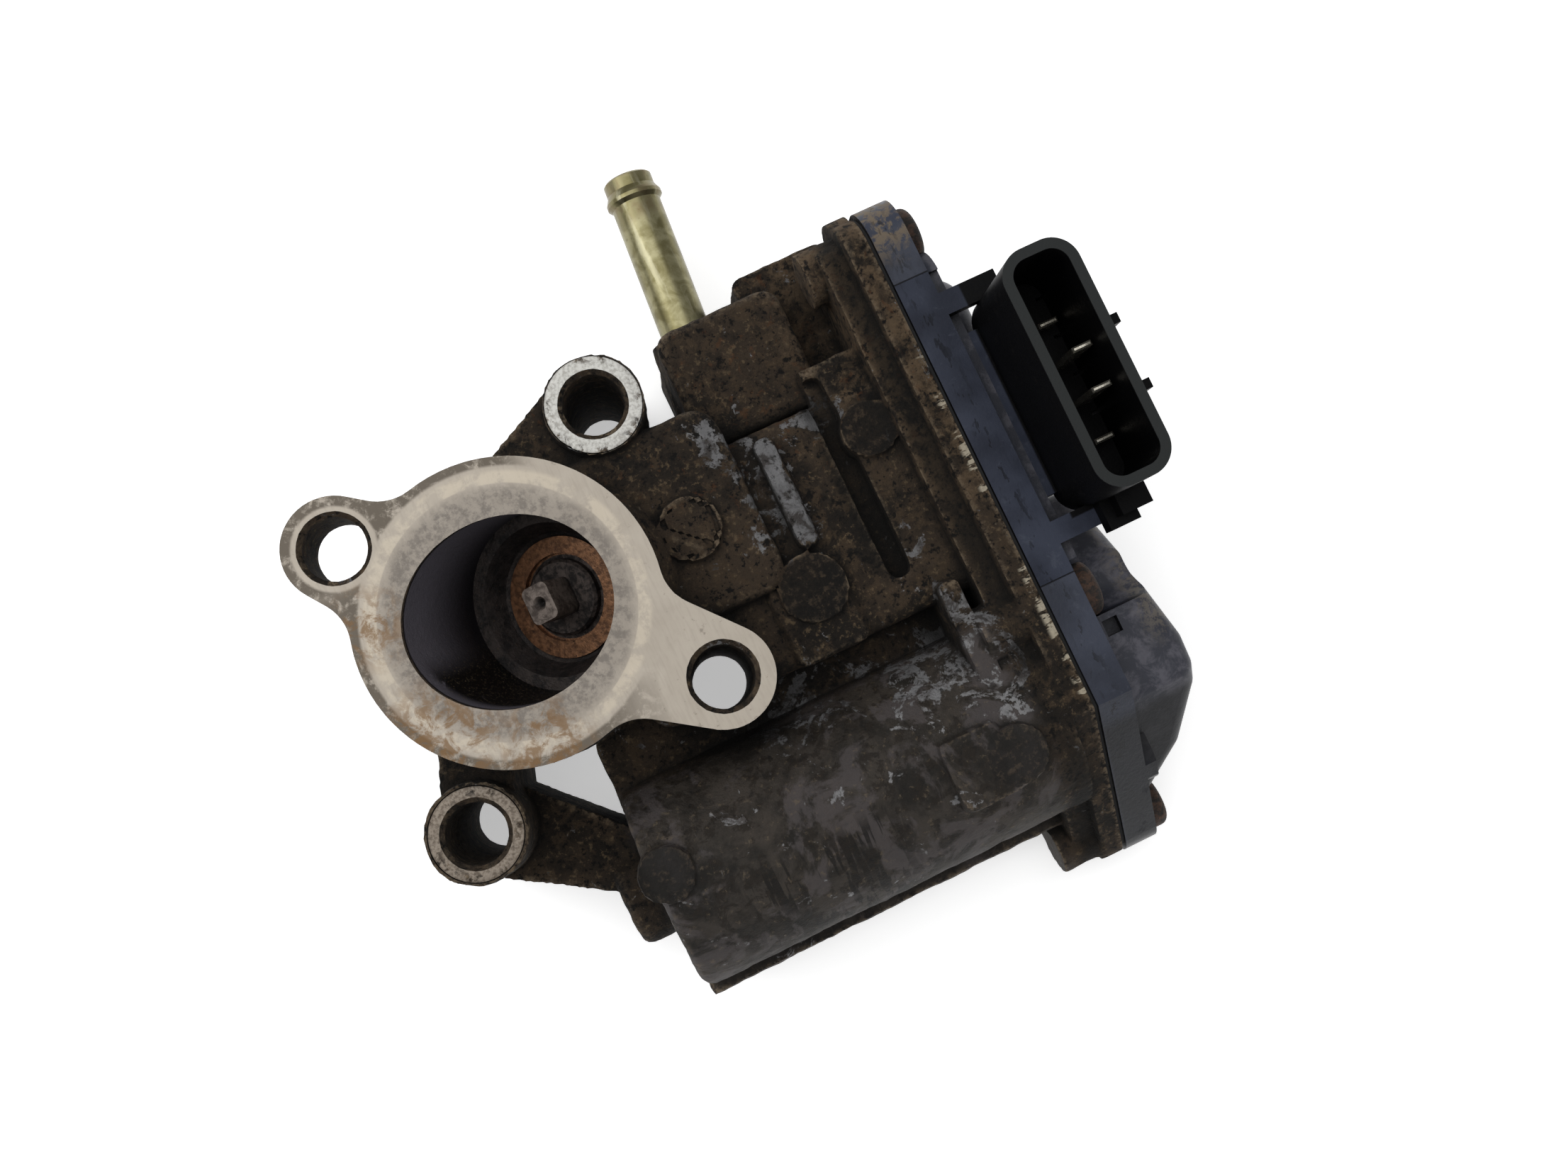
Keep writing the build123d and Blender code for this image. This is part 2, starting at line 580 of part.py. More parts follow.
def shaft_bores():
    bore = rod_x(FINAL_Y, FINAL_Z, SHAFT_BUSH_R, CAM_X0 + 1, CHAMBER_FLOOR_X + 1)
    return bore + rod_x(FINAL_Y, FINAL_Z, BEARING_R, CHAMBER_FLOOR_X - BEARING_T, CHAMBER_FLOOR_X + 1)


def coolant_gallery():
    """Pipe seat, bore behind it, and the drilling down to the mounting face."""
    seat = Pos(0, 0, 1 - PIPE_INSERT / 2) * Cylinder(PIPE_R, PIPE_INSERT + 2)
    bore = Pos(0, 0, -GALLERY_DROP / 2 - PIPE_BORE_R / 2) * Cylinder(PIPE_BORE_R, GALLERY_DROP + PIPE_BORE_R)
    drilling_x = PIPE_X - GALLERY_DROP * tan(radians(PIPE_YAW))
    return pipe_location() * (seat + bore) + rod_z(drilling_x, PIPE_Y - GALLERY_DROP, PIPE_BORE_R, -1, PIPE_Z + 1)


def valve_body():
    body = prism(flange_outline(), FLANGE_Z - FLANGE_T, FLANGE_Z)
    body += valve_barrel() + bolt_columns() + gearbox_block() + motor_housing()
    body += gear_flange() + casting_pads()
    body += pipe_location() * Pos(0, 0, -PIPE_COLLAR_L / 2) * Cylinder(PIPE_COLLAR_R, PIPE_COLLAR_L)

    body -= gas_path()
    body -= valve_rod(BUSH_R, BUSH_TOP - CUT_PAST / 2, STEM_END) + valve_rod(SPRING_BORE_R, SPRING_SEAT, STEM_END + CUT_PAST)
    body -= cam_chamber()
    body -= prism(lid_outline(LID_FIT), -1, LID_TOP)
    for x, y in LID_SCREWS:
        body -= rod_z(x, y, LID_SCREW_R, -1, LID_SCREW_L + 0.5)
    for hole in bolt_holes():
        body -= hole

    body -= motor_bore() + shaft_bores()
    body -= along_x(gear_cavity(), CHAMBER_FLOOR_X, COVER_JOINT_X)
    for y, z in COVER_SCREWS:
        body -= rod_x(y, z, SCREW_R, COVER_JOINT_X - SCREW_DEPTH, COVER_JOINT_X)
    for y, z in PLATE_SCREWS:
        body -= rod_x(y, z, PLATE_SCREW_R, CHAMBER_FLOOR_X - PLATE_SCREW_L - 0.5, CHAMBER_FLOOR_X + 1)
    return body - coolant_gallery()


def lid_outline(gap=0.0):
    """Outline of the chamber lid; with a gap it is the recess in the casting."""
    ends = [Pos(x, y) * Circle(LID_SCREW_HEAD_R + 1.0 + gap) for x, y in LID_SCREWS]
    over = rounded(CAM_X0 - CHAMBER_GAP - LID_LIP - gap, CAM_X0 + CAM_T + CHAMBER_GAP + LID_LIP + gap,
                   cam_chamber_y0() - LID_LIP - gap, CAM_CHAMBER_Y1 + LID_LIP + gap, LID_CORNER)
    return hull(*ends) + over


def cam_chamber_y0():
    return FINAL_Y - CAM_HUB_R - CHAMBER_GAP


def cam_chamber():
    x0, x1 = CAM_X0 - CHAMBER_GAP, CAM_X0 + CAM_T + CHAMBER_GAP
    room = prism(rounded(x0, x1, cam_chamber_y0(), CAM_CHAMBER_Y1, 1.0), LID_TOP, FINAL_Z + CAM_HUB_R + CHAMBER_GAP)
    room += block(STEM_ROOM_X0, CAM_X0, -STEM_ROOM_Y, STEM_ROOM_Y, LID_TOP, STEM_ROOM_TOP)
    pin_slot = PIN_R + PIN_ROOM
    return room + block(PIN_X - 2 * PIN_R, CAM_X0, -pin_slot, pin_slot, LID_TOP, PIN_Z + RISE + pin_slot)


# ---------------------------------------------------------------- fixed pieces round the valve
def valve_seat():
    cone_sum = HEAD_R + HEAD_TOP + HEAD_EDGE + SEAT_GAP
    mouth = SEAT_TOP + SEAT_CONE
    return turned([(PORT_R, SEAT_TOP), (SEAT_LIP_R, SEAT_TOP), (cone_sum - mouth, mouth),
                   (SEAT_BORE_R, cone_sum - SEAT_BORE_R), (SEAT_BORE_R, SEAT_TOP + SEAT_H),
                   (PORT_R, SEAT_TOP + SEAT_H)])


def stem_bush():
    return valve_tube(STEM_R + STEM_CLEARANCE, BUSH_R, BUSH_TOP, BUSH_END)


def stem_seal():
    top = BUSH_TOP - SEAL_T
    return turned([(STEM_R + STEM_CLEARANCE, top), (SEAL_R - 0.8, top), (SEAL_R, top + 0.8), (SEAL_R, PYLON_TOP),
                   (BUSH_R, PYLON_TOP), (BUSH_R, BUSH_TOP), (STEM_R + STEM_CLEARANCE, BUSH_TOP)])


def bottom_cover():
    lid = prism(lid_outline(), LID_RECESS, LID_TOP)
    for x, y in LID_SCREWS:
        lid -= lid_screw(x, y)
    return lid


def lid_screw(x, y):
    profile = [(0, LID_RECESS), (LID_SCREW_HEAD_R, LID_RECESS), (LID_SCREW_R, LID_TOP - 0.15),
               (LID_SCREW_R, LID_SCREW_L), (0, LID_SCREW_L)]
    face = make_face(Polyline(*[(r, 0, z) for r, z in profile], close=True))
    return Pos(x, y, 0) * revolve(face, Axis.Z, 360)


def bottom_cover_screws():
    slot = Box(2 * LID_SCREW_HEAD_R, SLOT_W, 1.0)
    return [lid_screw(x, y) - Pos(x, y, LID_RECESS) * slot for x, y in LID_SCREWS]


def coolant_pipe():
    rise = BEAD_R - PIPE_R
    foot, bead = 2 - PIPE_INSERT, PIPE_LENGTH - BEAD_BACK
    outer = [(PIPE_BORE_R, foot), (PIPE_R, foot), (PIPE_R, bead), (BEAD_R, bead + rise), (BEAD_R, bead + 2 * rise),
             (PIPE_R, bead + 4 * rise), (PIPE_R, PIPE_LENGTH - 0.3), (PIPE_R - 0.3, PIPE_LENGTH), (PIPE_BORE_R, PIPE_LENGTH)]
    face = make_face(Polyline(*[(r, 0, z) for r, z in outer], close=True))
    return pipe_location() * revolve(face, Axis.Z, 360)


# ---------------------------------------------------------------- valve
def valve_head():
    bottom = HEAD_TOP + HEAD_T
    inner = HEAD_R - HEAD_RING_W
    rim = HEAD_TOP + HEAD_EDGE
    return turned([(STEM_R, HUB_TOP), (HUB_R - 0.4, HUB_TOP), (HUB_R, HUB_TOP + 0.4), (HUB_R, HEAD_TOP + HEAD_RECESS),
                   (inner, HEAD_TOP + HEAD_RECESS), (inner, HEAD_TOP), (HEAD_R, HEAD_TOP), (HEAD_R, rim),
                   (SEAT_BORE_R - 0.5, rim + HEAD_R - SEAT_BORE_R + 0.5), (SEAT_BORE_R - 1.6, bottom), (STEM_R, bottom)])


def valve_stem():
    stem = turned([(0, HUB_TOP), (STEM_R, HUB_TOP), (STEM_R, STEM_END - 0.5), (STEM_R - 0.5, STEM_END), (0, STEM_END)])
    tang = VALVE_PLANE * Pos(0, 0, HUB_TOP - TANG_H / 2) * Box(TANG_X, TANG_Y, TANG_H)
    tang = fillet(tang.edges().filter_by(Axis(VALVE_PLANE.origin, VALVE_PLANE.z_dir)), 1.0)
    drill = turned([(0, HUB_TOP - TANG_H - 0.1), (1.1, HUB_TOP - TANG_H - 0.1), (0, HUB_TOP - TANG_H + 1.3)])
    groove = valve_tube(STEM_R - 0.6, STEM_R + 1, clip_top(), clip_top() + CLIP_T)
    pin_hole = rod_x(0, PIN_Z, PIN_R, PIN_X - PIN_BLIND, PIN_X + 5)
    return stem + tang - drill - groove - pin_hole


def clip_top():
    return RETAINER_TOP + RETAINER_T


def spring_retainer():
    top = RETAINER_TOP
    return turned([(STEM_R, top), (RETAINER_R, top), (RETAINER_R, top + RETAINER_T), (STEM_R, top + RETAINER_T)])


def retainer_clip():
    ring = valve_tube(STEM_R - 0.6, CLIP_R, clip_top(), clip_top() + CLIP_T)
    mouth = Pos(0, 0, clip_top() + CLIP_T / 2) * (Pos(-CLIP_R, 0) * Box(2 * CLIP_R, 2.4, 2))
    return ring - VALVE_PLANE * mouth


def follower_pin():
    return rod_x(0, PIN_Z, PIN_R, PIN_X - PIN_BLIND, CAM_X0 + CAM_T)


def return_spring():
    length = RETAINER_TOP - SPRING_SEAT - 2 * SPRING_WIRE_R - 0.2
    path = Helix(pitch=length / SPRING_TURNS, height=length, radius=SPRING_R)
    section = Plane(origin=path @ 0, z_dir=path % 0) * Circle(SPRING_WIRE_R)
    coil = Pos(0, 0, SPRING_SEAT + SPRING_WIRE_R + 0.1) * sweep(section, path)
    return VALVE_PLANE * coil


# ---------------------------------------------------------------- cam lever and its shaft
def cam_point(turn):
    """Pin centre seen from the cam shaft, turned with the cam, for a cam angle in degrees."""
    y, z = -FINAL_Y, PIN_Z - FINAL_Z + RISE * turn / SWING
    a = radians(turn)
    return Vector(y * cos(a) + z * sin(a), z * cos(a) - y * sin(a))


def slot_outline(half_width):
    """Slot of constant lift per degree, with round ends, about the shaft centre."""
    turns = [-3 + (SWING + 6) * k / 12 for k in range(13)]
    sides = ([], [])
    for turn in turns:
        along = (cam_point(turn + 0.5) - cam_point(turn - 0.5)).normalized()
        across = Vector(-along.Y, along.X) * half_width
        sides[0].append(cam_point(turn) + across)
        sides[1].append(cam_point(turn) - across)
    tip = cam_point(turns[-1]) + (cam_point(turns[-1] + 0.5) - cam_point(turns[-1] - 0.5)).normalized() * half_width
    tail = cam_point(turns[0]) - (cam_point(turns[0] + 0.5) - cam_point(turns[0] - 0.5)).normalized() * half_width
    outline = [Spline(*sides[0]), ThreePointArc(sides[0][-1], tip, sides[1][-1]),
               Spline(*sides[1]), ThreePointArc(sides[1][0], tail, sides[0][0])]
    return make_face(outline)


def cam_lever():
    web = make_face(Polyline((0, 0), *[cam_point(SWING * k / 6) for k in range(7)], close=True))
    plate = slot_outline(PIN_R + SLOT_CLEARANCE + CAM_WALL) + web + Circle(CAM_HUB_R)
    plate = plate - slot_outline(PIN_R + SLOT_CLEARANCE) - Circle(CAM_SHAFT_R)
    return extrude(plane_x(CAM_X0, FINAL_Y, FINAL_Z) * plate, CAM_T)


def cam_shaft():
    shaft = rod_x(FINAL_Y, FINAL_Z, CAM_SHAFT_R, CAM_X0, COVER_FACE_X)
    return chamfer(shaft.edges().sort_by(Axis.X)[0], 0.4)


def shaft_bush():
    x0 = CAM_X0 + CAM_T + 2 * CHAMBER_GAP
    ring = rod_x(FINAL_Y, FINAL_Z, SHAFT_BUSH_R, x0, x0 + SHAFT_BUSH_L)
    return ring - rod_x(FINAL_Y, FINAL_Z, CAM_SHAFT_R + RUN_CLEARANCE, x0 - 1, x0 + SHAFT_BUSH_L + 1)


def shaft_bearing():
    x1 = CHAMBER_FLOOR_X
    ring = rod_x(FINAL_Y, FINAL_Z, BEARING_R, x1 - BEARING_T, x1)
    groove = Pos(FINAL_Y, FINAL_Z) * (Circle(BEARING_R - RACE_WALL) - Circle(CAM_SHAFT_R + RACE_WALL))
    shaft = rod_x(FINAL_Y, FINAL_Z, CAM_SHAFT_R + RUN_CLEARANCE, x1 - BEARING_T - 1, x1 + 1)
    return ring - along_x(groove, x1 - SEAL_RECESS, x1 + 1) - shaft


# ---------------------------------------------------------------- gears
def involute(angle):
    return tan(angle) - angle


def tooth_points(module, teeth, centre):
    """Corners of one tooth, root to tip and back, about the gear centre."""
    pitch = module * teeth / 2
    base = pitch * cos(radians(PRESSURE_ANGLE))
    root = pitch - DEDENDUM * module
    tip = pitch + ADDENDUM * module
    half = pi / (2 * teeth) - BACKLASH / (2 * pitch) + involute(radians(PRESSURE_ANGLE))
    start = max(base, root)
    radii = [start, (start + pitch) / 2, pitch, (pitch + tip) / 2, tip]
    flank = [(r, half - involute(acos(min(1.0, base / r)))) for r in radii]
    if root < base:
        flank.insert(0, (root, flank[0][1]))
    return [polar(r, centre - a) for r, a in flank] + [polar(r, centre + a) for r, a in reversed(flank)]


def gear_face(module, teeth, phase):
    points = []
    for k in range(teeth):
        points += tooth_points(module, teeth, phase + 2 * pi * k / teeth)
    return make_face(Polyline(*points, close=True))


def intermediate_pinion():
    phase = TO_IDLER + pi + pi / SMALL_TEETH
    teeth = gear_face(MODULE_2, SMALL_TEETH, phase) - Circle(IDLER_PIN_R + RUN_CLEARANCE)
    return extrude(plane_x(SECTOR_X0 - 0.3, IDLER_Y, IDLER_Z) * teeth, LARGE_X0 - SECTOR_X0 + 0.3)


def intermediate_gear():
    face = gear_face(MODULE_1, LARGE_TEETH, TO_MOTOR) - Circle(IDLER_PIN_R + RUN_CLEARANCE)
    wheel = extrude(plane_x(LARGE_X0, IDLER_Y, IDLER_Z) * face, LARGE_T)
    rim = MODULE_1 * LARGE_TEETH / 2 - 2.2
    web = extrude(plane_x(LARGE_X0 + LARGE_T - 1.0, IDLER_Y, IDLER_Z) * (Circle(rim) - Circle(IDLER_PIN_R + 2.0)), 2)
    return wheel - web


def motor_pinion():
    phase = TO_MOTOR + pi + pi / PINION_TEETH
    face = gear_face(MODULE_1, PINION_TEETH, phase) - Circle(MOTOR_SHAFT_R)
    return extrude(plane_x(PINION_X0, MOTOR_Y, MOTOR_Z) * face, PINION_X1 - PINION_X0)


def sector_gear():
    pitch_angle = 2 * pi / SECTOR_TEETH
    before = int((SECTOR_SPAN - SWING) / 2 / degrees(pitch_angle))
    after = int((SECTOR_SPAN + SWING) / 2 / degrees(pitch_angle))
    points = [(0, 0)]
    for k in range(-after, before + 1):
        points += tooth_points(MODULE_2, SECTOR_TEETH, TO_IDLER + k * pitch_angle)
    face = make_face(Polyline(*points, close=True)) + Circle(SECTOR_HUB_R)
    window_r = MODULE_2 * SECTOR_TEETH / 2 - 3.4
    middle = TO_IDLER - radians(SWING / 2)
    window = hull(Pos(*polar(window_r - 1.4, middle - 0.22)) * Circle(1.8),
                  Pos(*polar(window_r - 1.4, middle + 0.22)) * Circle(1.8))
    return extrude(plane_x(SECTOR_X0, FINAL_Y, FINAL_Z) * (face - window - Circle(CAM_SHAFT_R)), SECTOR_T)


def intermediate_pin():
    pin = rod_x(IDLER_Y, IDLER_Z, IDLER_PIN_R, CHAMBER_FLOOR_X, IDLER_PIN_END)
    return chamfer(pin.edges().sort_by(Axis.X)[-1], 0.3)


def sensor_magnet():
    x0 = COVER_FACE_X
    holder = rod_x(FINAL_Y, FINAL_Z, MAGNET_HOLDER_R, x0, x0 + MAGNET_HOLDER_T)
    return holder - along_x(Pos(FINAL_Y, FINAL_Z) * Rectangle(2 * MAGNET_R, 0.8), x0 + MAGNET_HOLDER_T - 0.6, x0 + 9)


# ---------------------------------------------------------------- motor
def motor_ring(r0, r1, x0, x1):
    return along_x(Pos(MOTOR_Y, MOTOR_Z) * (Circle(r1) - Circle(r0)), x0, x1)


def motor_can():
    inner = MOTOR_R - MOTOR_WALL
    can = rod_x(MOTOR_Y, MOTOR_Z, MOTOR_R, MOTOR_X0, CHAMBER_FLOOR_X)
    can = fillet(can.edges().sort_by(Axis.X)[0], 1.0)
    can += rod_x(MOTOR_Y, MOTOR_Z, MOTOR_BEARING_R, MOTOR_X0 - MOTOR_BEARING_L, MOTOR_X0)
    can -= rod_x(MOTOR_Y, MOTOR_Z, inner, MOTOR_X0 + MOTOR_WALL, CHAMBER_FLOOR_X)
    return can - rod_x(MOTOR_Y, MOTOR_Z, MOTOR_BUSH_R, MOTOR_X0 - MOTOR_BEARING_L + 0.8, MOTOR_X0 + 2)


def motor_magnets():
    outer = MOTOR_R - MOTOR_WALL
    ring = motor_ring(outer - MAGNET_T, outer, MAGNET_X0, MAGNET_X1)
    half = MAGNET_GAP / 2
    gap = block(MAGNET_X0 - 1, MAGNET_X1 + 1, MOTOR_Y - half, MOTOR_Y + half, MOTOR_Z - MOTOR_R, MOTOR_Z + MOTOR_R)
    return list((ring - gap).solids())


def motor_armature():
    outer = MOTOR_R - MOTOR_WALL - MAGNET_T - AIR_GAP
    face = Circle(outer) - Circle(MOTOR_SHAFT_R)
    for k in range(ARMATURE_SLOTS):
        face -= Rot(0, 0, 360 * k / ARMATURE_SLOTS) * (Pos(outer, 0) * Rectangle(2 * ARMATURE_SLOT_D, ARMATURE_SLOT_W))
    return along_x(Pos(MOTOR_Y, MOTOR_Z) * face, MAGNET_X0 + 1.5, MAGNET_X1 - 1.5)


def commutator():
    face = Circle(COMMUTATOR_R) - Circle(MOTOR_SHAFT_R)
    for k in range(ARMATURE_SLOTS):
        face -= Rot(0, 0, 360 * (k + 0.5) / ARMATURE_SLOTS) * (Pos(COMMUTATOR_R, 0) * Rectangle(1.4, 0.3))
    return along_x(Pos(MOTOR_Y, MOTOR_Z) * face, COMMUTATOR_X0, COMMUTATOR_X1)


def brush_middle():
    return (COMMUTATOR_X0 + COMMUTATOR_X1) / 2


def motor_brushes():
    half = BRUSH_SIZE / 2
    x = brush_middle()
    inside = COMMUTATOR_R + BRUSH_GAP
    end = inside + BRUSH_L
    brushes = [block(x - half, x + half, MOTOR_Y - half, MOTOR_Y + half, MOTOR_Z + inside, MOTOR_Z + end),
               block(x - half, x + half, MOTOR_Y - half, MOTOR_Y + half, MOTOR_Z - end, MOTOR_Z - inside)]
    worn = rod_x(MOTOR_Y, MOTOR_Z, inside, x - BRUSH_SIZE, x + BRUSH_SIZE)
    return [brush - worn for brush in brushes]


def motor_end_cap():
    x1 = CHAMBER_FLOOR_X
    rim = MOTOR_R - MOTOR_WALL
    cap = motor_ring(MOTOR_BUSH_R, rim, x1 - MOTOR_CAP_T, x1)
    half = BRUSH_SIZE / 2 + HOLDER_WALL
    for side in (-1, 1):
        ends = sorted([MOTOR_Z + side * (COMMUTATOR_R + HOLDER_WALL), MOTOR_Z + side * (rim - HOLDER_WALL)])
        cap += block(brush_middle() - half, x1 - MOTOR_CAP_T, MOTOR_Y - half, MOTOR_Y + half, *ends)
    for brush in motor_brushes():
        cap -= brush
    return cap


def motor_bushes():
    far = motor_ring(MOTOR_SHAFT_R + RUN_CLEARANCE / 2, MOTOR_BUSH_R, MOTOR_X0 - MOTOR_BEARING_L + 0.8, MOTOR_X0 + MOTOR_WALL)
    near = motor_ring(MOTOR_SHAFT_R + RUN_CLEARANCE / 2, MOTOR_BUSH_R, CHAMBER_FLOOR_X - MOTOR_CAP_T, CHAMBER_FLOOR_X)
    return [far, near]


def motor_shaft():
    shaft = rod_x(MOTOR_Y, MOTOR_Z, MOTOR_SHAFT_R, MOTOR_X0 - MOTOR_BEARING_L + 1.0, PINION_X1 + 0.3)
    return chamfer(shaft.edges().sort_by(Axis.X)[-1], 0.3)


def motor_plate():
    inside = offset(gear_cavity(), -0.25)
    shape = hull(Pos(MOTOR_Y, MOTOR_Z) * Circle(MOTOR_HOUSING_R + PLATE_T), Pos(IDLER_Y, IDLER_Z) * Circle(PLATE_IDLER_R))
    for y, z in PLATE_SCREWS:
        shape += Pos(y, z) * Circle(PLATE_SCREW_R + 2.2)
    shape = (shape & inside) + Pos(MOTOR_Y, MOTOR_Z) * Circle(MOTOR_R - 0.2)
    shape -= Pos(MOTOR_Y, MOTOR_Z) * Circle(MOTOR_SHAFT_R + 1.2)
    shape -= Pos(IDLER_Y, IDLER_Z) * Circle(IDLER_PIN_R)
    for y, z in PLATE_SCREWS:
        shape -= Pos(y, z) * Circle(PLATE_SCREW_R)
    return along_x(shape, CHAMBER_FLOOR_X, CHAMBER_FLOOR_X + PLATE_T)


def motor_plate_screws():
    x0 = CHAMBER_FLOOR_X + PLATE_T
    screws = []
    for y, z in PLATE_SCREWS:
        screw = rod_x(y, z, PLATE_SCREW_R, CHAMBER_FLOOR_X - PLATE_SCREW_L, x0) + rod_x(y, z, PLATE_HEAD_R, x0, x0 + PLATE_HEAD_H)
        screws.append(screw - Pos(x0 + PLATE_HEAD_H, y, z) * Box(PLATE_HEAD_H, 2 * PLATE_HEAD_R, SLOT_W))
    return screws


# ---------------------------------------------------------------- gear cover, gasket and connector
def dome_cavity():
    wheel = Pos(IDLER_Y, IDLER_Z) * Circle(MODULE_1 * (LARGE_TEETH / 2 + ADDENDUM) + DOME_GAP)
    pinion = Pos(MOTOR_Y, MOTOR_Z) * Circle(PINION_ROOM_R)
    room = along_x(hull(wheel, pinion), COVER_FACE_X - 1, LARGE_X0 + LARGE_T + 2 * DOME_GAP)
    return room + along_x(pinion, COVER_FACE_X, PINION_X1 + 3 * DOME_GAP)


def dome():
    """Raised housing of the motor and intermediate gears, tapered towards both ends."""
    front = along_x(make_face(Polyline(*DOME_FRONT, close=True)), COVER_FACE_X, DOME_X)
    y1, y0 = DOME_SIDE[0][0], DOME_SIDE[-1][0]
    crown = [(COVER_FACE_X, y1)] + [(DOME_X - drop, y) for y, drop in DOME_SIDE] + [(COVER_FACE_X, y0)]
    shell = front & prism(make_face(Polyline(*crown, close=True)), DOME_Z0, DOME_TOP)
    inside = (False, True)
    rim = shell.edges().filter_by_position(Axis.X, COVER_FACE_X, DOME_X, inclusive=inside)
    shell = fillet(rim, DOME_EDGE)
    window = prism(rect(*DOME_WINDOW), DOME_TOP - WINDOW_DEPTH, DOME_TOP + 1)
    return shell - window - rod_x(*COVER_SCREWS[2], SCREW_HEAD_R + HEAD_GAP, COVER_FACE_X, DOME_X + 1)


def sector_dome():
    raised = along_x(rounded(*SECTOR_DOME, SECTOR_DOME_CORNER), COVER_FACE_X, SECTOR_DOME_X)
    return fillet(raised.faces().sort_by(Axis.X)[-1].edges(), SECTOR_DOME_EDGE)


def carrier_room():
    return rect(CARRIER_Y0, CARRIER_Y1, COVER_TOP_Z - CARRIER_T, COVER_TOP_Z + 1)


def gear_cover():
    strip = along_x(cover_outline(), COVER_JOINT_X, COVER_FACE_X)
    room = gear_cavity() + Pos(*COVER_SCREWS[4]) * Circle(SCREW_HEAD_R + HEAD_WALL_GAP)
    plate = along_x(offset(room, COVER_WALL) & cover_outline(PLATE_INSET), COVER_FACE_X, COVER_PLATE_X)
    bulge = rod_x(FINAL_Y, FINAL_Z, SENSOR_BULGE_R, COVER_FACE_X, SENSOR_BULGE_X)
    bulge = fillet(bulge.edges().sort_by(Axis.X)[-1], BULGE_EDGE)
    cover = strip + plate + bulge + sector_dome() + dome()
    cover -= along_x(carrier_room(), COVER_JOINT_X - 1, COVER_PLATE_X + 1)
    cover -= along_x(gear_cavity(), COVER_JOINT_X - 1, COVER_FACE_X)
    cover -= dome_cavity()
    cover -= rod_x(FINAL_Y, FINAL_Z, SENSOR_BULGE_R - COVER_WALL, COVER_FACE_X - 1, SENSOR_BULGE_X - BULGE_WALL)
    cover -= rod_x(IDLER_Y, IDLER_Z, IDLER_PIN_R + PIN_HOLE_FIT, LARGE_X0 + LARGE_T, IDLER_PIN_END + 0.1)
    for y, z in COVER_SCREWS:
        cover -= rod_x(y, z, SCREW_R + SCREW_CLEARANCE, COVER_JOINT_X - 1, COVER_FACE_X)
        cover -= rod_x(y, z, SCREW_HEAD_R + HEAD_GAP, COVER_FACE_X, DOME_X)
    return cover


def cover_gasket():
    outline = cover_outline(CASTING_INSET + PLATE_INSET) - gear_cavity()
    outline -= Pos(MOTOR_Y, MOTOR_Z) * Circle(MOTOR_R + MOTOR_FIT)
    for y, z in COVER_SCREWS:
        outline -= Pos(y, z) * Circle(SCREW_R + SCREW_CLEARANCE)
    return along_x(outline, CASTING_FACE_X, COVER_JOINT_X)


def cover_screw(y, z):
    top = COVER_FACE_X + SCREW_HEAD_H
    shank = rod_x(y, z, SCREW_R, COVER_JOINT_X - SCREW_DEPTH + 0.5, COVER_FACE_X)
    head = rod_x(y, z, SCREW_HEAD_R, COVER_FACE_X, top)
    head = fillet(head.edges().sort_by(Axis.X)[-1], SCREW_EDGE)
    socket = along_x(Pos(y, z) * RegularPolygon(SOCKET_R, 6), top - SOCKET_DEPTH, top + 1)
    return shank + head - socket


def cover_screws():
    return [cover_screw(y, z) for y, z in COVER_SCREWS]


def shroud_outline(inset):
    return rounded(SHROUD_X0 + inset, SHROUD_X1 - inset, SHROUD_Y0 + inset, SHROUD_Y1 - inset, SHROUD_CORNER - inset)


def shroud():
    """Open socket for the plug, with its throat, latch steps and ribs."""
    wall = prism(shroud_outline(0), SHROUD_FLOOR - SHROUD_BASE, SHROUD_TOP)
    wall -= prism(shroud_outline(SHROUD_WALL), SHROUD_FLOOR, SHROUD_TOP + 1)
    wall += prism(shroud_outline(THROAT_INSET), THROAT_Z, SHROUD_FLOOR)
    wall += block(COVER_PLATE_X, SHROUD_X0 + THROAT_INSET, SHROUD_Y0 + SHROUD_CORNER, SHROUD_Y1 - SHROUD_CORNER,
                  THROAT_Z, COVER_TOP_Z - CARRIER_T)
    for x0, x1, y0, z0, z1 in LATCH_STEPS:
        wall += block(x0, x1, y0, SHROUD_Y0 + SHROUD_WALL, z0, z1)
    for y in LATCH_RIBS:
        half = LATCH_RIB_W / 2
        wall += block(SHROUD_X1 - SHROUD_WALL, SHROUD_X1 + LATCH_RIB_L, y - half, y + half, *LATCH_RIB_Z)
    return wall


def blade_places():
    return [(BLADE_Y + BLADE_PITCH * k, top) for k, top in enumerate(BLADE_TOPS)]


def connector_housing():
    carrier = rect(CARRIER_Y0, CARRIER_Y1, COVER_TOP_Z - CARRIER_T, COVER_TOP_Z)
    housing = along_x(carrier, COVER_JOINT_X, COVER_FACE_X) + shroud()
    for y0 in (SHROUD_Y0 - ARM_OFFSETS[0], SHROUD_Y1 - ARM_OFFSETS[1]):
        housing += block(COVER_FACE_X - 1.0, ARM_X1, y0, y0 + ARM_T, COVER_TOP_Z - CARRIER_T, COVER_TOP_Z)
    slit_x = SHROUD_X1 - SHROUD_WALL
    for y, top in blade_places():
        housing -= blade(y, top)
        slit_y = y + SLIT_OFFSET
        housing -= block(slit_x - SLIT_L, slit_x, slit_y, slit_y + SLIT_W, THROAT_Z, SHROUD_FLOOR + 1)
    return housing


def blade(y, top):
    half_w, half_t = BLADE_W / 2, BLADE_T / 2
    strip = block(BLADE_X - half_w, BLADE_X + half_w, y - half_t, y + half_t, BLADE_FOOT_Z, top)
    return chamfer(strip.faces().sort_by(Axis.Z)[-1].edges(), BLADE_TIP)


def terminal_blades():
    return [blade(y, top) for y, top in blade_places()]


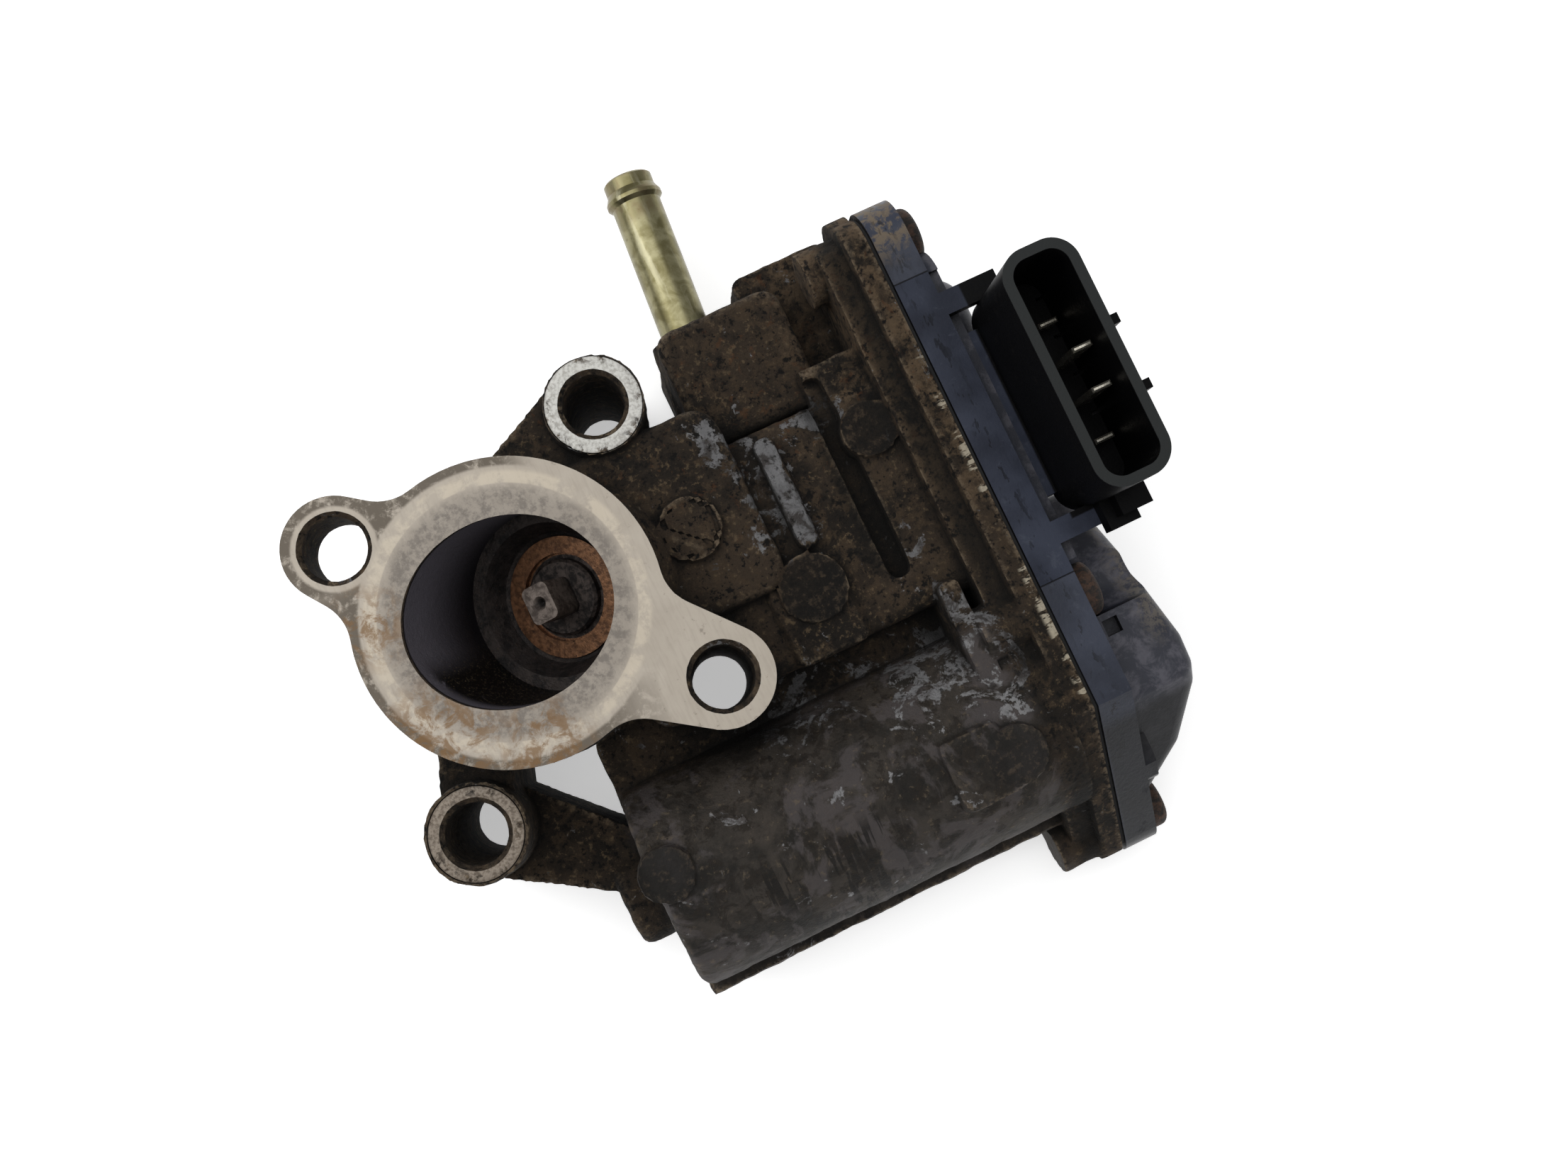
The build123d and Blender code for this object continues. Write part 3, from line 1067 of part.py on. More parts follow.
def position_sensor():
    x1 = SENSOR_BULGE_X - BULGE_WALL
    return along_x(Pos(FINAL_Y, FINAL_Z) * Rectangle(CHIP_SIZE, CHIP_SIZE), x1 - CHIP_T, x1)


# ---------------------------------------------------------------- export
PIECES = [valve_body, valve_seat, stem_bush, stem_seal, bottom_cover, bottom_cover_screws, coolant_pipe,
          valve_head, valve_stem, spring_retainer, retainer_clip, follower_pin, return_spring,
          cam_lever, cam_shaft, shaft_bush, shaft_bearing, sector_gear, sensor_magnet,
          intermediate_gear, intermediate_pinion, intermediate_pin,
          motor_can, motor_magnets, motor_armature, commutator, motor_brushes, motor_end_cap, motor_bushes,
          motor_shaft, motor_pinion, motor_plate, motor_plate_screws,
          gear_cover, cover_gasket, cover_screws, connector_housing, terminal_blades, position_sensor]

os.makedirs("parts", exist_ok=True)
for piece in PIECES:
    shape = piece()
    if isinstance(shape, list):
        shape = Compound(children=shape)
    export_step(shape, f"parts/{piece.__name__}.step")
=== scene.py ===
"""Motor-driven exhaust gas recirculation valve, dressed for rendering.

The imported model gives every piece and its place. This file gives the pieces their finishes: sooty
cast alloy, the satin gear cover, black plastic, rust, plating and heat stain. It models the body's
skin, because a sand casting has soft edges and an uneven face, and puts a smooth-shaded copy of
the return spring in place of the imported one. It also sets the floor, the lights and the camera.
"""
import json
import math

import bpy
from mathutils import Matrix, Vector


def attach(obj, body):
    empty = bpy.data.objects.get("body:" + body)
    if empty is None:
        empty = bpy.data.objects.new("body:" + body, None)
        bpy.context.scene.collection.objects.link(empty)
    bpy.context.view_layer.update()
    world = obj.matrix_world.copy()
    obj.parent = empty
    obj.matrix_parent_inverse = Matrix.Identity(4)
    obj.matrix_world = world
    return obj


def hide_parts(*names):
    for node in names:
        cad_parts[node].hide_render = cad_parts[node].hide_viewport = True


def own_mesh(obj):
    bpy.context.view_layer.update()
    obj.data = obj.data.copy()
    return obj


bl_info = {
    "name": "EGR valve",
    "version": (1, 0, 0),
    "blender": (4, 5, 0),
    "location": "View3D > Sidebar > EGR valve",
    "description": "Finishes, cast skin, spring and stage for a motor-driven EGR valve",
    "category": "Object",
}

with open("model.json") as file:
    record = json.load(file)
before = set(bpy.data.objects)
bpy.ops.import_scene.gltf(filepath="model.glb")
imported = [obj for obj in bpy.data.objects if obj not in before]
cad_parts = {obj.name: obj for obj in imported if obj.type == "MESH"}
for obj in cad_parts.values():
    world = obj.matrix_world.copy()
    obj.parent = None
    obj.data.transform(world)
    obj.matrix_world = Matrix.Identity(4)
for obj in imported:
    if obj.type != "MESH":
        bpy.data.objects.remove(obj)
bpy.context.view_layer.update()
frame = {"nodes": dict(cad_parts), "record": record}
NODES = frame["nodes"]

MM = 0.001

# Places on the part, in millimetres.
FLANGE_Z = 44.0
BOSS_Z = 36.0
PORT = (9.0, 0.0)
LEFT_EAR = (-8.9, 18.0)
RIGHT_EAR = (32.1, -20.9)
UPPER_BOSS = (32.1, 23.1)
LOWER_BOSS = (-8.9, -25.9)
BOLT_HOLES = (LEFT_EAR, RIGHT_EAR, UPPER_BOSS, LOWER_BOSS)
VALVE_AXIS_POINT = (PORT[0], PORT[1], FLANGE_Z)
VALVE_AXIS = (0.45399, 0.0, -0.89101)

# Cast skin, in millimetres. Past the first three, and within a reach of each bore and boss face,
# the casting is machined and its skin stays sharp.
CAST_TOP_Z = 43.2
CAST_BOTTOM_Z = 0.8
CAST_END_X = 76.2
BOSS_FACE_REACH = 0.5
BOSS_FACE_UPRIGHT = 0.8
PORT_BORE_REACH = 14.5
BOLT_BORE_REACH = 5.2
CAST_GROUP = "as_cast"
GRID_FILL = 0.99          # share of the remesh grid that the body fills
RELIEF_DETAIL = 3
RELIEF_MIDDLE = 0.55      # level of the pattern at which the face stays where it is
MERGE_DISTANCE = 1e-6     # metres
SMOOTH_ANGLE = 0.7        # radians

CAMERA_PLACE = Vector((26.67, -24.38, 261.0)) * MM
CAMERA_RIGHT = Vector((0.90101, -0.43040, 0.05428))
CAMERA_UP = Vector((0.42558, 0.90123, 0.08165))
CAMERA_BACK = Vector((-0.08406, -0.05047, 0.99518))
CAMERA_SENSOR = 36.0
CAMERA_NEAR = 0.01
FLOOR_DROP = 0.0002       # keeps the floor clear of the base, in metres
STUDIO_LIGHTS = [
    # name, place, target, size, power
    ("overhead", (-0.10, 0.22, 0.75), (0.04, -0.01, 0.02), 0.8, 3.6),
    ("window", (-0.40, 0.35, 0.40), (0.04, -0.01, 0.02), 0.4, 1.1),
    ("edge", (0.35, -0.35, 0.45), (0.05, -0.02, 0.02), 0.3, 0.4),
]

# Sockets of the Mix node, which has one set for numbers and one for colours.
MIX_NUMBER = {"type": "FLOAT", "a": 2, "b": 3, "result": 0}
MIX_COLOUR = {"type": "RGBA", "a": 6, "b": 7, "result": 2}
HOLLOW_SAMPLES = 6


# ---------------------------------------------------------------- node building
class Finish:
    """A material under construction, with short names for the shader nodes that this part needs.

    A mask is a number from 0 to 1 over the surface. Sizes and places are in millimetres.
    """

    def __init__(self, name, specular=None):
        self.material = bpy.data.materials.get(name) or bpy.data.materials.new(name)
        self.material.use_nodes = True
        self.tree = self.material.node_tree
        self.tree.nodes.clear()
        self.surface = self.add("ShaderNodeBsdfPrincipled")
        if specular is not None:
            self.surface.inputs["Specular IOR Level"].default_value = specular
        output = self.add("ShaderNodeOutputMaterial")
        self.feed(output.inputs["Surface"], self.surface.outputs["BSDF"])
        self.place = self.add("ShaderNodeTexCoord").outputs["Object"]
        self.axes = self.add("ShaderNodeSeparateXYZ")
        self.feed(self.axes.inputs[0], self.place)
        geometry = self.add("ShaderNodeNewGeometry")
        self.facing = self.add("ShaderNodeSeparateXYZ")
        self.feed(self.facing.inputs[0], geometry.outputs["True Normal"])
        self.pointiness = geometry.outputs["Pointiness"]

    def add(self, kind, **settings):
        """New shader node with its settings."""
        node = self.tree.nodes.new(kind)
        for name, value in settings.items():
            setattr(node, name, value)
        return node

    def feed(self, socket, value):
        """Joins a node's output to a socket, or sets the socket to a plain value."""
        if isinstance(value, bpy.types.NodeSocket):
            self.tree.links.new(value, socket)
        else:
            socket.default_value = value

    def scaled(self, stretch):
        """Object place with each axis stretched, for streaks and brushed lines."""
        mapping = self.add("ShaderNodeMapping")
        mapping.inputs["Scale"].default_value = stretch
        self.feed(mapping.inputs["Vector"], self.place)
        return mapping.outputs["Vector"]

    def noise(self, size, detail=4.0, roughness=0.55, distortion=0.0, stretch=None, offset=0.0):
        """Cloudy pattern whose features are about size millimetres across."""
        node = self.add("ShaderNodeTexNoise", noise_dimensions="4D")
        self.feed(node.inputs["Vector"], self.scaled(stretch) if stretch else self.place)
        node.inputs["W"].default_value = offset
        node.inputs["Scale"].default_value = 1.0 / (size * MM)
        node.inputs["Detail"].default_value = detail
        node.inputs["Roughness"].default_value = roughness
        node.inputs["Distortion"].default_value = distortion
        return node.outputs["Fac"]

    def step(self, value, low, high):
        """0 below low, 1 above high, smooth between them. Swapped limits turn it round."""
        node = self.add("ShaderNodeMapRange", interpolation_type="SMOOTHSTEP")
        self.feed(node.inputs["Value"], value)
        if low < high:
            ends = (low, high, 0.0, 1.0)
        else:
            ends = (high, low, 1.0, 0.0)
        for name, end in zip(("From Min", "From Max", "To Min", "To Max"), ends):
            node.inputs[name].default_value = end
        return node.outputs["Result"]

    def math(self, operation, a, b=0.0):
        """Sum on one or two numbers."""
        node = self.add("ShaderNodeMath", operation=operation)
        self.feed(node.inputs[0], a)
        self.feed(node.inputs[1], b)
        return node.outputs[0]

    def vector(self, operation, a, b=(0.0, 0.0, 0.0)):
        """Sum on one or two vectors."""
        node = self.add("ShaderNodeVectorMath", operation=operation)
        self.feed(node.inputs[0], a)
        self.feed(node.inputs[1], b)
        return node.outputs

    def both(self, *masks):
        """Where all the masks are. A plain number among them thins the result."""
        result = masks[0]
        for mask in masks[1:]:
            result = self.math("MULTIPLY", result, mask)
        return result

    def either(self, *masks):
        """Where any of the masks is."""
        result = masks[0]
        for mask in masks[1:]:
            result = self.math("MAXIMUM", result, mask)
        return result

    def mix(self, sockets, amount, a, b):
        """Mix node of one data type."""
        node = self.add("ShaderNodeMix", data_type=sockets["type"])
        self.feed(node.inputs[0], amount)
        self.feed(node.inputs[sockets["a"]], a)
        self.feed(node.inputs[sockets["b"]], b)
        return node.outputs[sockets["result"]]

    def blend(self, amount, a, b):
        """Colour that goes from a to b with amount."""
        return self.mix(MIX_COLOUR, amount, a, b)

    def between(self, amount, a, b):
        """Number that goes from a to b with amount."""
        return self.mix(MIX_NUMBER, amount, a, b)

    def over(self, base, paint, *masks):
        """Base colour with paint laid over it where all the masks are."""
        return self.blend(self.both(*masks), base, paint)

    def x(self, low, high):
        """0 below low, 1 above high along x. Swapped limits turn it round."""
        return self.step(self.axes.outputs[0], low * MM, high * MM)

    def y(self, low, high):
        """The same along y."""
        return self.step(self.axes.outputs[1], low * MM, high * MM)

    def z(self, low, high):
        """The same along z."""
        return self.step(self.axes.outputs[2], low * MM, high * MM)

    def near(self, centre, inner, outer):
        """1 within inner of a point, falling to 0 at outer."""
        point = [value * MM for value in centre]
        return self.step(self.vector("DISTANCE", self.place, point)["Value"],
                         outer * MM, inner * MM)

    def round_axis(self, centre, inner, outer):
        """1 within inner of an upright line, 0 past outer. Swapped radii turn it round."""
        dx, dy = (self.math("SUBTRACT", self.axes.outputs[axis], centre[axis] * MM)
                  for axis in (0, 1))
        square = self.math("ADD", self.math("MULTIPLY", dx, dx), self.math("MULTIPLY", dy, dy))
        return self.step(self.math("SQRT", square), outer * MM, inner * MM)

    def round_line(self, point, direction, inner, outer):
        """1 within inner of a slanted line, falling to 0 at outer."""
        offset = self.vector("SUBTRACT", self.place, [value * MM for value in point])["Vector"]
        across = self.vector("CROSS_PRODUCT", offset, direction)["Vector"]
        return self.step(self.vector("LENGTH", across)["Value"], outer * MM, inner * MM)

    def upward(self, low, high):
        """1 where the face looks up, by the height of its normal."""
        return self.step(self.facing.outputs[2], low, high)

    def hollows(self, reach, low, high):
        """1 in corners and grooves narrower than reach."""
        node = self.add("ShaderNodeAmbientOcclusion", samples=HOLLOW_SAMPLES)
        node.inputs["Distance"].default_value = reach * MM
        return self.step(node.outputs["AO"], high, low)

    def bump(self, height, depth, below=None):
        """Relief of a depth, laid over the relief below it."""
        node = self.add("ShaderNodeBump")
        node.inputs["Distance"].default_value = depth * MM
        node.inputs["Strength"].default_value = 1.0
        self.feed(node.inputs["Height"], height)
        if below is not None:
            self.feed(node.inputs["Normal"], below)
        return node.outputs["Normal"]

    def done(self, colour, roughness, metallic, relief=None):
        """Joins the layers to the surface and gives the material."""
        self.feed(self.surface.inputs["Base Color"], colour)
        self.feed(self.surface.inputs["Roughness"], roughness)
        self.feed(self.surface.inputs["Metallic"], metallic)
        if relief is not None:
            self.feed(self.surface.inputs["Normal"], relief)
        return self.material


def rgb(red, green, blue):
    """Linear colour from screen values of 0 to 255, by the sRGB curve."""
    def linear(value):
        value /= 255
        return value / 12.92 if value <= 0.04045 else ((value + 0.055) / 1.055) ** 2.4
    return (linear(red), linear(green), linear(blue), 1.0)


# ---------------------------------------------------------------- cast body
SPECK_BROWN, SPECK_TAN, PORE_BLACK = rgb(66, 54, 41), rgb(98, 83, 63), rgb(14, 12, 10)
WALL_TAN, WALL_RUST = rgb(94, 78, 60), rgb(84, 54, 32)
METAL_DULL, METAL_BRIGHT = rgb(86, 85, 86), rgb(146, 146, 147)
METAL_STAIN, METAL_PIT = rgb(54, 48, 44), rgb(18, 16, 14)
SMEAR_DARK, SMEAR_GREY, SMEAR_PALE = rgb(24, 22, 19), rgb(56, 51, 46), rgb(76, 71, 71)
SMEAR_BLACK, SMEAR_SPECK = rgb(20, 17, 14), rgb(92, 82, 68)
SCRATCH_BLACK, LOW_BROWN = rgb(9, 8, 7), rgb(38, 30, 23)
# The second and third colours here are painted shade for creases, grooves and corners.
WORN_EDGE, CREASE_SHADE, GROOVE_SHADE = rgb(118, 104, 86), rgb(10, 9, 8), rgb(13, 12, 10)
CAP_BLACK, CAP_BROWN, CHIP = rgb(20, 18, 16), rgb(52, 44, 36), rgb(186, 176, 156)
BRUSHED, FACE_SOOT, FACE_PALE = rgb(140, 132, 122), rgb(104, 98, 92), rgb(192, 181, 163)
FACE_GRIME, FACE_STAIN, FACE_SPECK = rgb(74, 66, 56), rgb(112, 84, 52), rgb(96, 88, 78)
BOSS_BRIGHT, BOSS_GREY = rgb(190, 189, 184), rgb(158, 156, 150)
BOSS_TAN, BOSS_SOOT = rgb(138, 128, 116), rgb(100, 90, 80)
# The first colour here is painted shade deep in the port.
PORT_DEPTH_SHADE, PORT_WALL = rgb(20, 18, 21), rgb(84, 81, 88)
CARBON, CARBON_SPECK = rgb(7, 6, 6), rgb(104, 92, 74)

# Where the crust has come off: centre, inner and outer reach.
BARE_SPOTS = (
    ((52, 3, 33), 3, 9), ((52, -4, 33), 3, 9), ((67.5, -27, 34), 3, 9), ((67.5, -38, 34), 4, 11),
    ((60, -35, 25), 5, 15), ((60, 8, 31), 2, 9), ((46, 11, 33), 2, 8), ((38, -32, 24), 4, 14),
)
# Black caps of the pads: centre, inner and outer radius.
PAD_CAPS = (
    ((65.9, -49.2), 4.6, 4.9), ((12.9, -42.8), 4.3, 4.7),
    ((67.8, 3.4), 3.9, 4.4), ((49.9, -14.6), 4.7, 5.2),
)
# Brown stains on the flange face: centre, inner and outer reach.
FACE_STAINS = (
    ((-7, -13, FLANGE_Z), 4, 12), ((-9, 6, FLANGE_Z), 1, 8), ((6, -19, FLANGE_Z), 3, 9),
)


class CastPatterns:
    """Noise patterns that the layers of the casting share."""

    def __init__(self, f):
        self.broad = f.noise(15, detail=5, roughness=0.62, distortion=0.4)
        self.ragged = f.noise(7.0, detail=8, roughness=0.68, distortion=1.2, offset=3.0)
        self.blotch = f.noise(3.0, detail=6, roughness=0.7, distortion=0.5, offset=11.0)
        self.fine = f.noise(1.1, detail=6, roughness=0.72, offset=7.0)
        self.grain = f.noise(0.32, detail=3, roughness=0.6)


def sand_crust(f, pattern, colours):
    """Brown crust with tan speckle, black pores, two tan walls and a little rust."""
    crust = f.blend(f.step(pattern.broad, 0.40, 0.62), colours.crust_dark, colours.crust_brown)
    crust = f.over(crust, SPECK_BROWN, f.step(pattern.blotch, 0.50, 0.60), 0.75)
    crust = f.over(crust, SPECK_TAN, f.step(pattern.fine, 0.55, 0.64), 0.7)
    crust = f.over(crust, PORE_BLACK, f.step(pattern.fine, 0.46, 0.39))
    cloud = f.noise(4.0, detail=6, roughness=0.7, distortion=0.4, offset=33.0)
    walls = f.either(f.both(f.x(60, 66), f.y(6, 10)), f.both(f.x(70, 73), f.y(-20, -10)))
    tan_wall = f.both(walls, f.step(cloud, 0.42, 0.58))
    crust = f.over(crust, WALL_TAN, tan_wall, f.step(pattern.fine, 0.40, 0.50), 0.8)
    rust = f.noise(2.2, detail=6, roughness=0.72, distortion=0.6, offset=15.0)
    return f.over(crust, WALL_RUST, f.step(rust, 0.57, 0.64), f.y(-8, 2), 0.4)


def bare_patches(f, pattern):
    """Height of the crust's broken edge, and the mask of the metal where it has come off."""
    rough_edge = f.math("MULTIPLY", f.math("SUBTRACT", pattern.fine, 0.5), 0.34)
    field = f.math("ADD", pattern.ragged, rough_edge)
    places = f.either(*(f.near(*spot) for spot in BARE_SPOTS))
    ridge = f.both(f.x(48.6, 50.4), f.x(54.4, 53.0), f.y(-10, -6), f.y(11, 8), f.z(31.5, 32.5))
    lift = f.math("ADD", f.math("MULTIPLY", places, 0.14), f.math("MULTIPLY", ridge, 0.085))
    height = f.math("ADD", field, lift)
    return height, f.both(f.step(height, 0.625, 0.665), f.upward(0.0, 0.5))


def bare_metal(f, pattern):
    """Grey metal under the crust, stained and pitted."""
    cloud = f.noise(2.2, detail=4, roughness=0.6, offset=5.0)
    metal = f.blend(cloud, METAL_DULL, METAL_BRIGHT)
    metal = f.over(metal, METAL_STAIN, f.step(pattern.blotch, 0.46, 0.58), 0.8)
    return f.over(metal, METAL_PIT, f.step(pattern.fine, 0.46, 0.38), 0.8)


def smeared_housing(f, pattern):
    """Smoother motor housing, smeared and scratched across its side and brown low down."""
    smear = f.noise(7.0, detail=6, roughness=0.66, distortion=0.5, offset=9.0)
    smooth = f.blend(f.step(smear, 0.38, 0.60), SMEAR_DARK, SMEAR_GREY)
    smooth = f.over(smooth, SMEAR_BLACK, f.step(pattern.blotch, 0.50, 0.58), 0.85)
    pale = f.noise(9, detail=6, roughness=0.65, distortion=0.8, offset=2.0)
    smooth = f.over(smooth, SMEAR_PALE, f.step(pale, 0.50, 0.58), 0.7)
    smooth = f.over(smooth, SMEAR_SPECK, f.step(pattern.fine, 0.58, 0.66), 0.5)
    lines = f.noise(1.3, detail=3, roughness=0.6, stretch=(1.0, 0.10, 0.2), offset=6.0)
    groups = f.noise(9, detail=3, offset=27.0)
    scratch = f.both(f.step(lines, 0.49, 0.55), f.step(groups, 0.38, 0.46), f.y(-46, -50),
                     f.x(20, 24), f.x(50, 42))
    smooth = f.over(smooth, SCRATCH_BLACK, scratch, 0.85)
    return f.over(smooth, LOW_BROWN, f.z(16, 13), 0.75)


def worn_edges(f, pattern, colour):
    """Pale worn edges, and painted shade in the inside corners."""
    worn = f.both(f.step(f.pointiness, 0.520, 0.575), f.step(pattern.fine, 0.44, 0.56),
                  f.upward(0.1, 0.4))
    colour = f.over(colour, WORN_EDGE, worn, 0.75)
    # Painted shade: near-black laid into concave creases by their pointiness.
    return f.over(colour, CREASE_SHADE, f.step(f.pointiness, 0.485, 0.435), 0.7)


def groove_shade_and_caps(f, pattern, colour):
    """Painted shade in the grooves, the valley and deep corners, black pad caps and bright chips.
    """
    groove = f.both(f.x(71.0, 73.5), f.x(76.4, 75.2), f.z(37, 34))
    valley = f.both(f.x(58.5, 60.5), f.x(66.0, 64.0), f.y(-20, -14), f.y(15, 11), f.z(32.5, 31.0))
    deep = f.hollows(6.0, 0.42, 0.82)
    # Painted shade: near-black over the grooves, the valley and the occluded corners.
    shade_mask = f.either(f.both(groove, 0.75), f.both(valley, 0.7), f.both(deep, 0.88))
    colour = f.over(colour, GROOVE_SHADE, shade_mask)
    caps = f.either(*(f.round_axis(*cap) for cap in PAD_CAPS))
    caps = f.both(caps, f.upward(0.7, 0.9), f.z(24, 25))
    cap_paint = f.blend(f.step(pattern.fine, 0.5, 0.62), CAP_BLACK, CAP_BROWN)
    colour = f.over(colour, cap_paint, caps, 0.85)
    chips = f.noise(2.4, detail=5, roughness=0.7, stretch=(0.3, 1, 1), offset=2.0)
    rim = f.both(f.x(77.5, 78.3), f.z(34, 37), f.step(chips, 0.53, 0.57))
    return f.over(colour, CHIP, rim, f.y(12, 6), f.y(-56, -48))


def flange_face(f, pattern, colours):
    """Machined inlet face: soot round the port, a light ring and a dirty, stained side."""
    cloud = f.noise(6, detail=5, roughness=0.6, distortion=0.6, offset=13.0)
    face = f.blend(cloud, colours.flange_dark, colours.flange_light)
    lines = f.noise(0.5, detail=3, roughness=0.6, stretch=(1.0, 0.12, 1.0), offset=14.0)
    face = f.over(face, BRUSHED, f.step(lines, 0.45, 0.65), 0.25)
    soot = f.step(f.noise(1.2, detail=6, roughness=0.75, offset=4.0), 0.42, 0.60)
    face = f.over(face, FACE_SOOT, f.round_axis(PORT, 16.2, 18.8), f.between(soot, 0.45, 0.9))

    ring = f.both(f.round_axis(PORT, 19.4, 20.2),
                  f.step(f.round_axis(PORT, 17.6, 18.4), 0.7, 0.3))
    gaps = f.noise(3.0, detail=6, roughness=0.7, distortion=0.4, offset=37.0)
    face = f.over(face, FACE_PALE, ring, f.step(gaps, 0.40, 0.56), 0.55)

    outer = f.step(f.round_axis(PORT, 19.8, 21.2), 0.8, 0.2)
    dirty_side = f.either(f.both(f.x(4, -3), f.y(18, 10)), f.both(f.y(8, 14), f.x(22, 16)),
                          f.both(f.x(28, 12), f.y(-14, -18)))
    cloud = f.noise(2.0, detail=7, roughness=0.75, distortion=0.4, offset=23.0)
    grime = f.both(outer, dirty_side, f.step(cloud, 0.34, 0.52))
    clean_ears = f.either(f.round_axis(LEFT_EAR, 5.4, 6.6), f.round_axis(RIGHT_EAR, 8.0, 10.0))
    grime = f.both(grime, f.step(clean_ears, 0.8, 0.2))
    face = f.over(face, FACE_GRIME, grime, 0.85)

    stain = f.noise(2.6, detail=7, roughness=0.72, distortion=0.7, offset=21.0)
    places = f.either(*(f.near(*spot) for spot in FACE_STAINS))
    face = f.over(face, FACE_STAIN, f.step(stain, 0.44, 0.58), places, 0.8)
    return f.over(face, FACE_SPECK, f.step(pattern.fine, 0.60, 0.66),
                  f.round_axis(PORT, 24, 17), 0.5)


def boss_face(f, centre, edge, clean, ragged_edge):
    """Mask of a bolt boss's turned face, and of its clean part, which has a ragged edge."""
    face = f.both(f.round_axis(centre, *edge), f.z(BOSS_Z - 0.4, BOSS_Z - 0.15),
                  f.z(BOSS_Z + 1, BOSS_Z + 0.2), f.upward(0.8, 0.95))
    return face, f.both(face, f.either(ragged_edge, f.round_axis(centre, *clean)))


def port_wall(f, pattern):
    """Purple-grey wall of the gas port, darkening deeper down as painted shade, and black with
    carbon low down.
    """
    # Painted shade: the wall darkens from z 41 down to z 28.
    wall = f.blend(f.z(28, 41), PORT_DEPTH_SHADE, PORT_WALL)
    sooted = f.both(f.y(0, -5), f.z(43.0, 40.5))
    carbon = f.noise(2.4, detail=7, roughness=0.72, distortion=0.4, offset=31.0)
    wall = f.over(wall, CARBON, sooted, f.step(carbon, 0.34, 0.42))
    return f.over(wall, CARBON_SPECK, sooted, f.step(pattern.grain, 0.58, 0.64), 0.6)


def cast_crust(colours):
    """Weathered cast alloy with bare patches, a smeared housing and machined faces."""
    f = Finish("cast_crust", specular=0.22)
    pattern = CastPatterns(f)
    height, bare = bare_patches(f, pattern)
    housing = f.both(f.y(-28.5, -31.5), f.x(8, 11), f.x(72.5, 69))
    colour = f.over(sand_crust(f, pattern, colours), smeared_housing(f, pattern), housing, 0.85)
    colour = worn_edges(f, pattern, colour)
    colour = f.over(colour, bare_metal(f, pattern), bare)
    colour = groove_shade_and_caps(f, pattern, colour)

    flange = f.both(f.z(FLANGE_Z - 0.5, FLANGE_Z - 0.2), f.upward(0.8, 0.95))
    colour = f.over(colour, flange_face(f, pattern, colours), flange)

    ring_lines = f.step(f.noise(0.45, detail=3, roughness=0.6, offset=8.0), 0.4, 0.65)
    edge_cloud = f.noise(1.6, detail=6, roughness=0.72, distortion=0.4, offset=19.0)
    ragged_edge = f.step(edge_cloud, 0.62, 0.50)
    upper, upper_clean = boss_face(f, UPPER_BOSS, (6.9, 7.4), (5.6, 7.0), ragged_edge)
    lower, lower_clean = boss_face(f, LOWER_BOSS, (6.5, 7.1), (4.9, 6.2), ragged_edge)
    colour = f.over(colour, f.blend(ring_lines, BOSS_BRIGHT, BOSS_GREY), upper_clean)
    colour = f.over(colour, f.blend(ring_lines, BOSS_TAN, BOSS_SOOT), lower_clean, 0.9)

    port = f.both(f.round_line(VALVE_AXIS_POINT, VALVE_AXIS, 16.0, 16.6), f.z(43.7, 43.3),
                  f.upward(0.75, 0.4), f.z(18, 24))
    colour = f.over(colour, port_wall(f, pattern), port)

    machined = f.either(flange, upper, lower)
    roughness = f.between(bare, 0.88, 0.45)
    roughness = f.between(machined, roughness, 0.50)
    roughness = f.between(f.both(housing, f.step(bare, 0.5, 0.0)), roughness, 0.66)
    roughness = f.between(port, roughness, 0.5)
    metallic = f.either(f.both(bare, 0.6), f.both(machined, 0.35), f.both(port, 0.3))

    cast = f.both(f.step(machined, 0.6, 0.1), f.between(housing, 1.0, 0.45),
                  f.between(port, 1.0, 0.3))
    lumps = f.math("ADD", pattern.fine, f.math("MULTIPLY", pattern.broad, 0.7))
    relief = f.bump(f.both(lumps, cast), 0.8)
    relief = f.bump(f.both(pattern.grain, cast), 0.20, relief)
    relief = f.bump(f.both(f.step(height, 0.60, 0.66), cast), -0.18, relief)
    return f.done(colour, roughness, metallic, relief)


# ---------------------------------------------------------------- cover and plug socket
SATIN_SCUFF, CORNER_CORROSION = rgb(72, 76, 86), rgb(104, 92, 76)
SATIN_SPECK, SEAM_BLACK = rgb(10, 10, 11), rgb(8, 8, 9)
# The first two colours here are a painted reflection on the dome's upward faces.
DOME_SHEEN_DARK, DOME_SHEEN_PALE, CROWN_WEAR = rgb(50, 51, 58), rgb(84, 83, 90), rgb(98, 92, 84)
# Painted shade colours for the dome's slope, the cover's sides and its corners.
SLOPE_SHADE, SIDE_SHADE, CORNER_SHADE = rgb(10, 10, 12), rgb(5, 5, 6), rgb(8, 8, 9)
# The second colour here is a painted highlight on the socket rim.
SOCKET_DUST, RIM_HIGHLIGHT = rgb(26, 25, 25), rgb(44, 46, 46)
SEAM_DEPTH = 3.0          # times the depth of the grain beside it


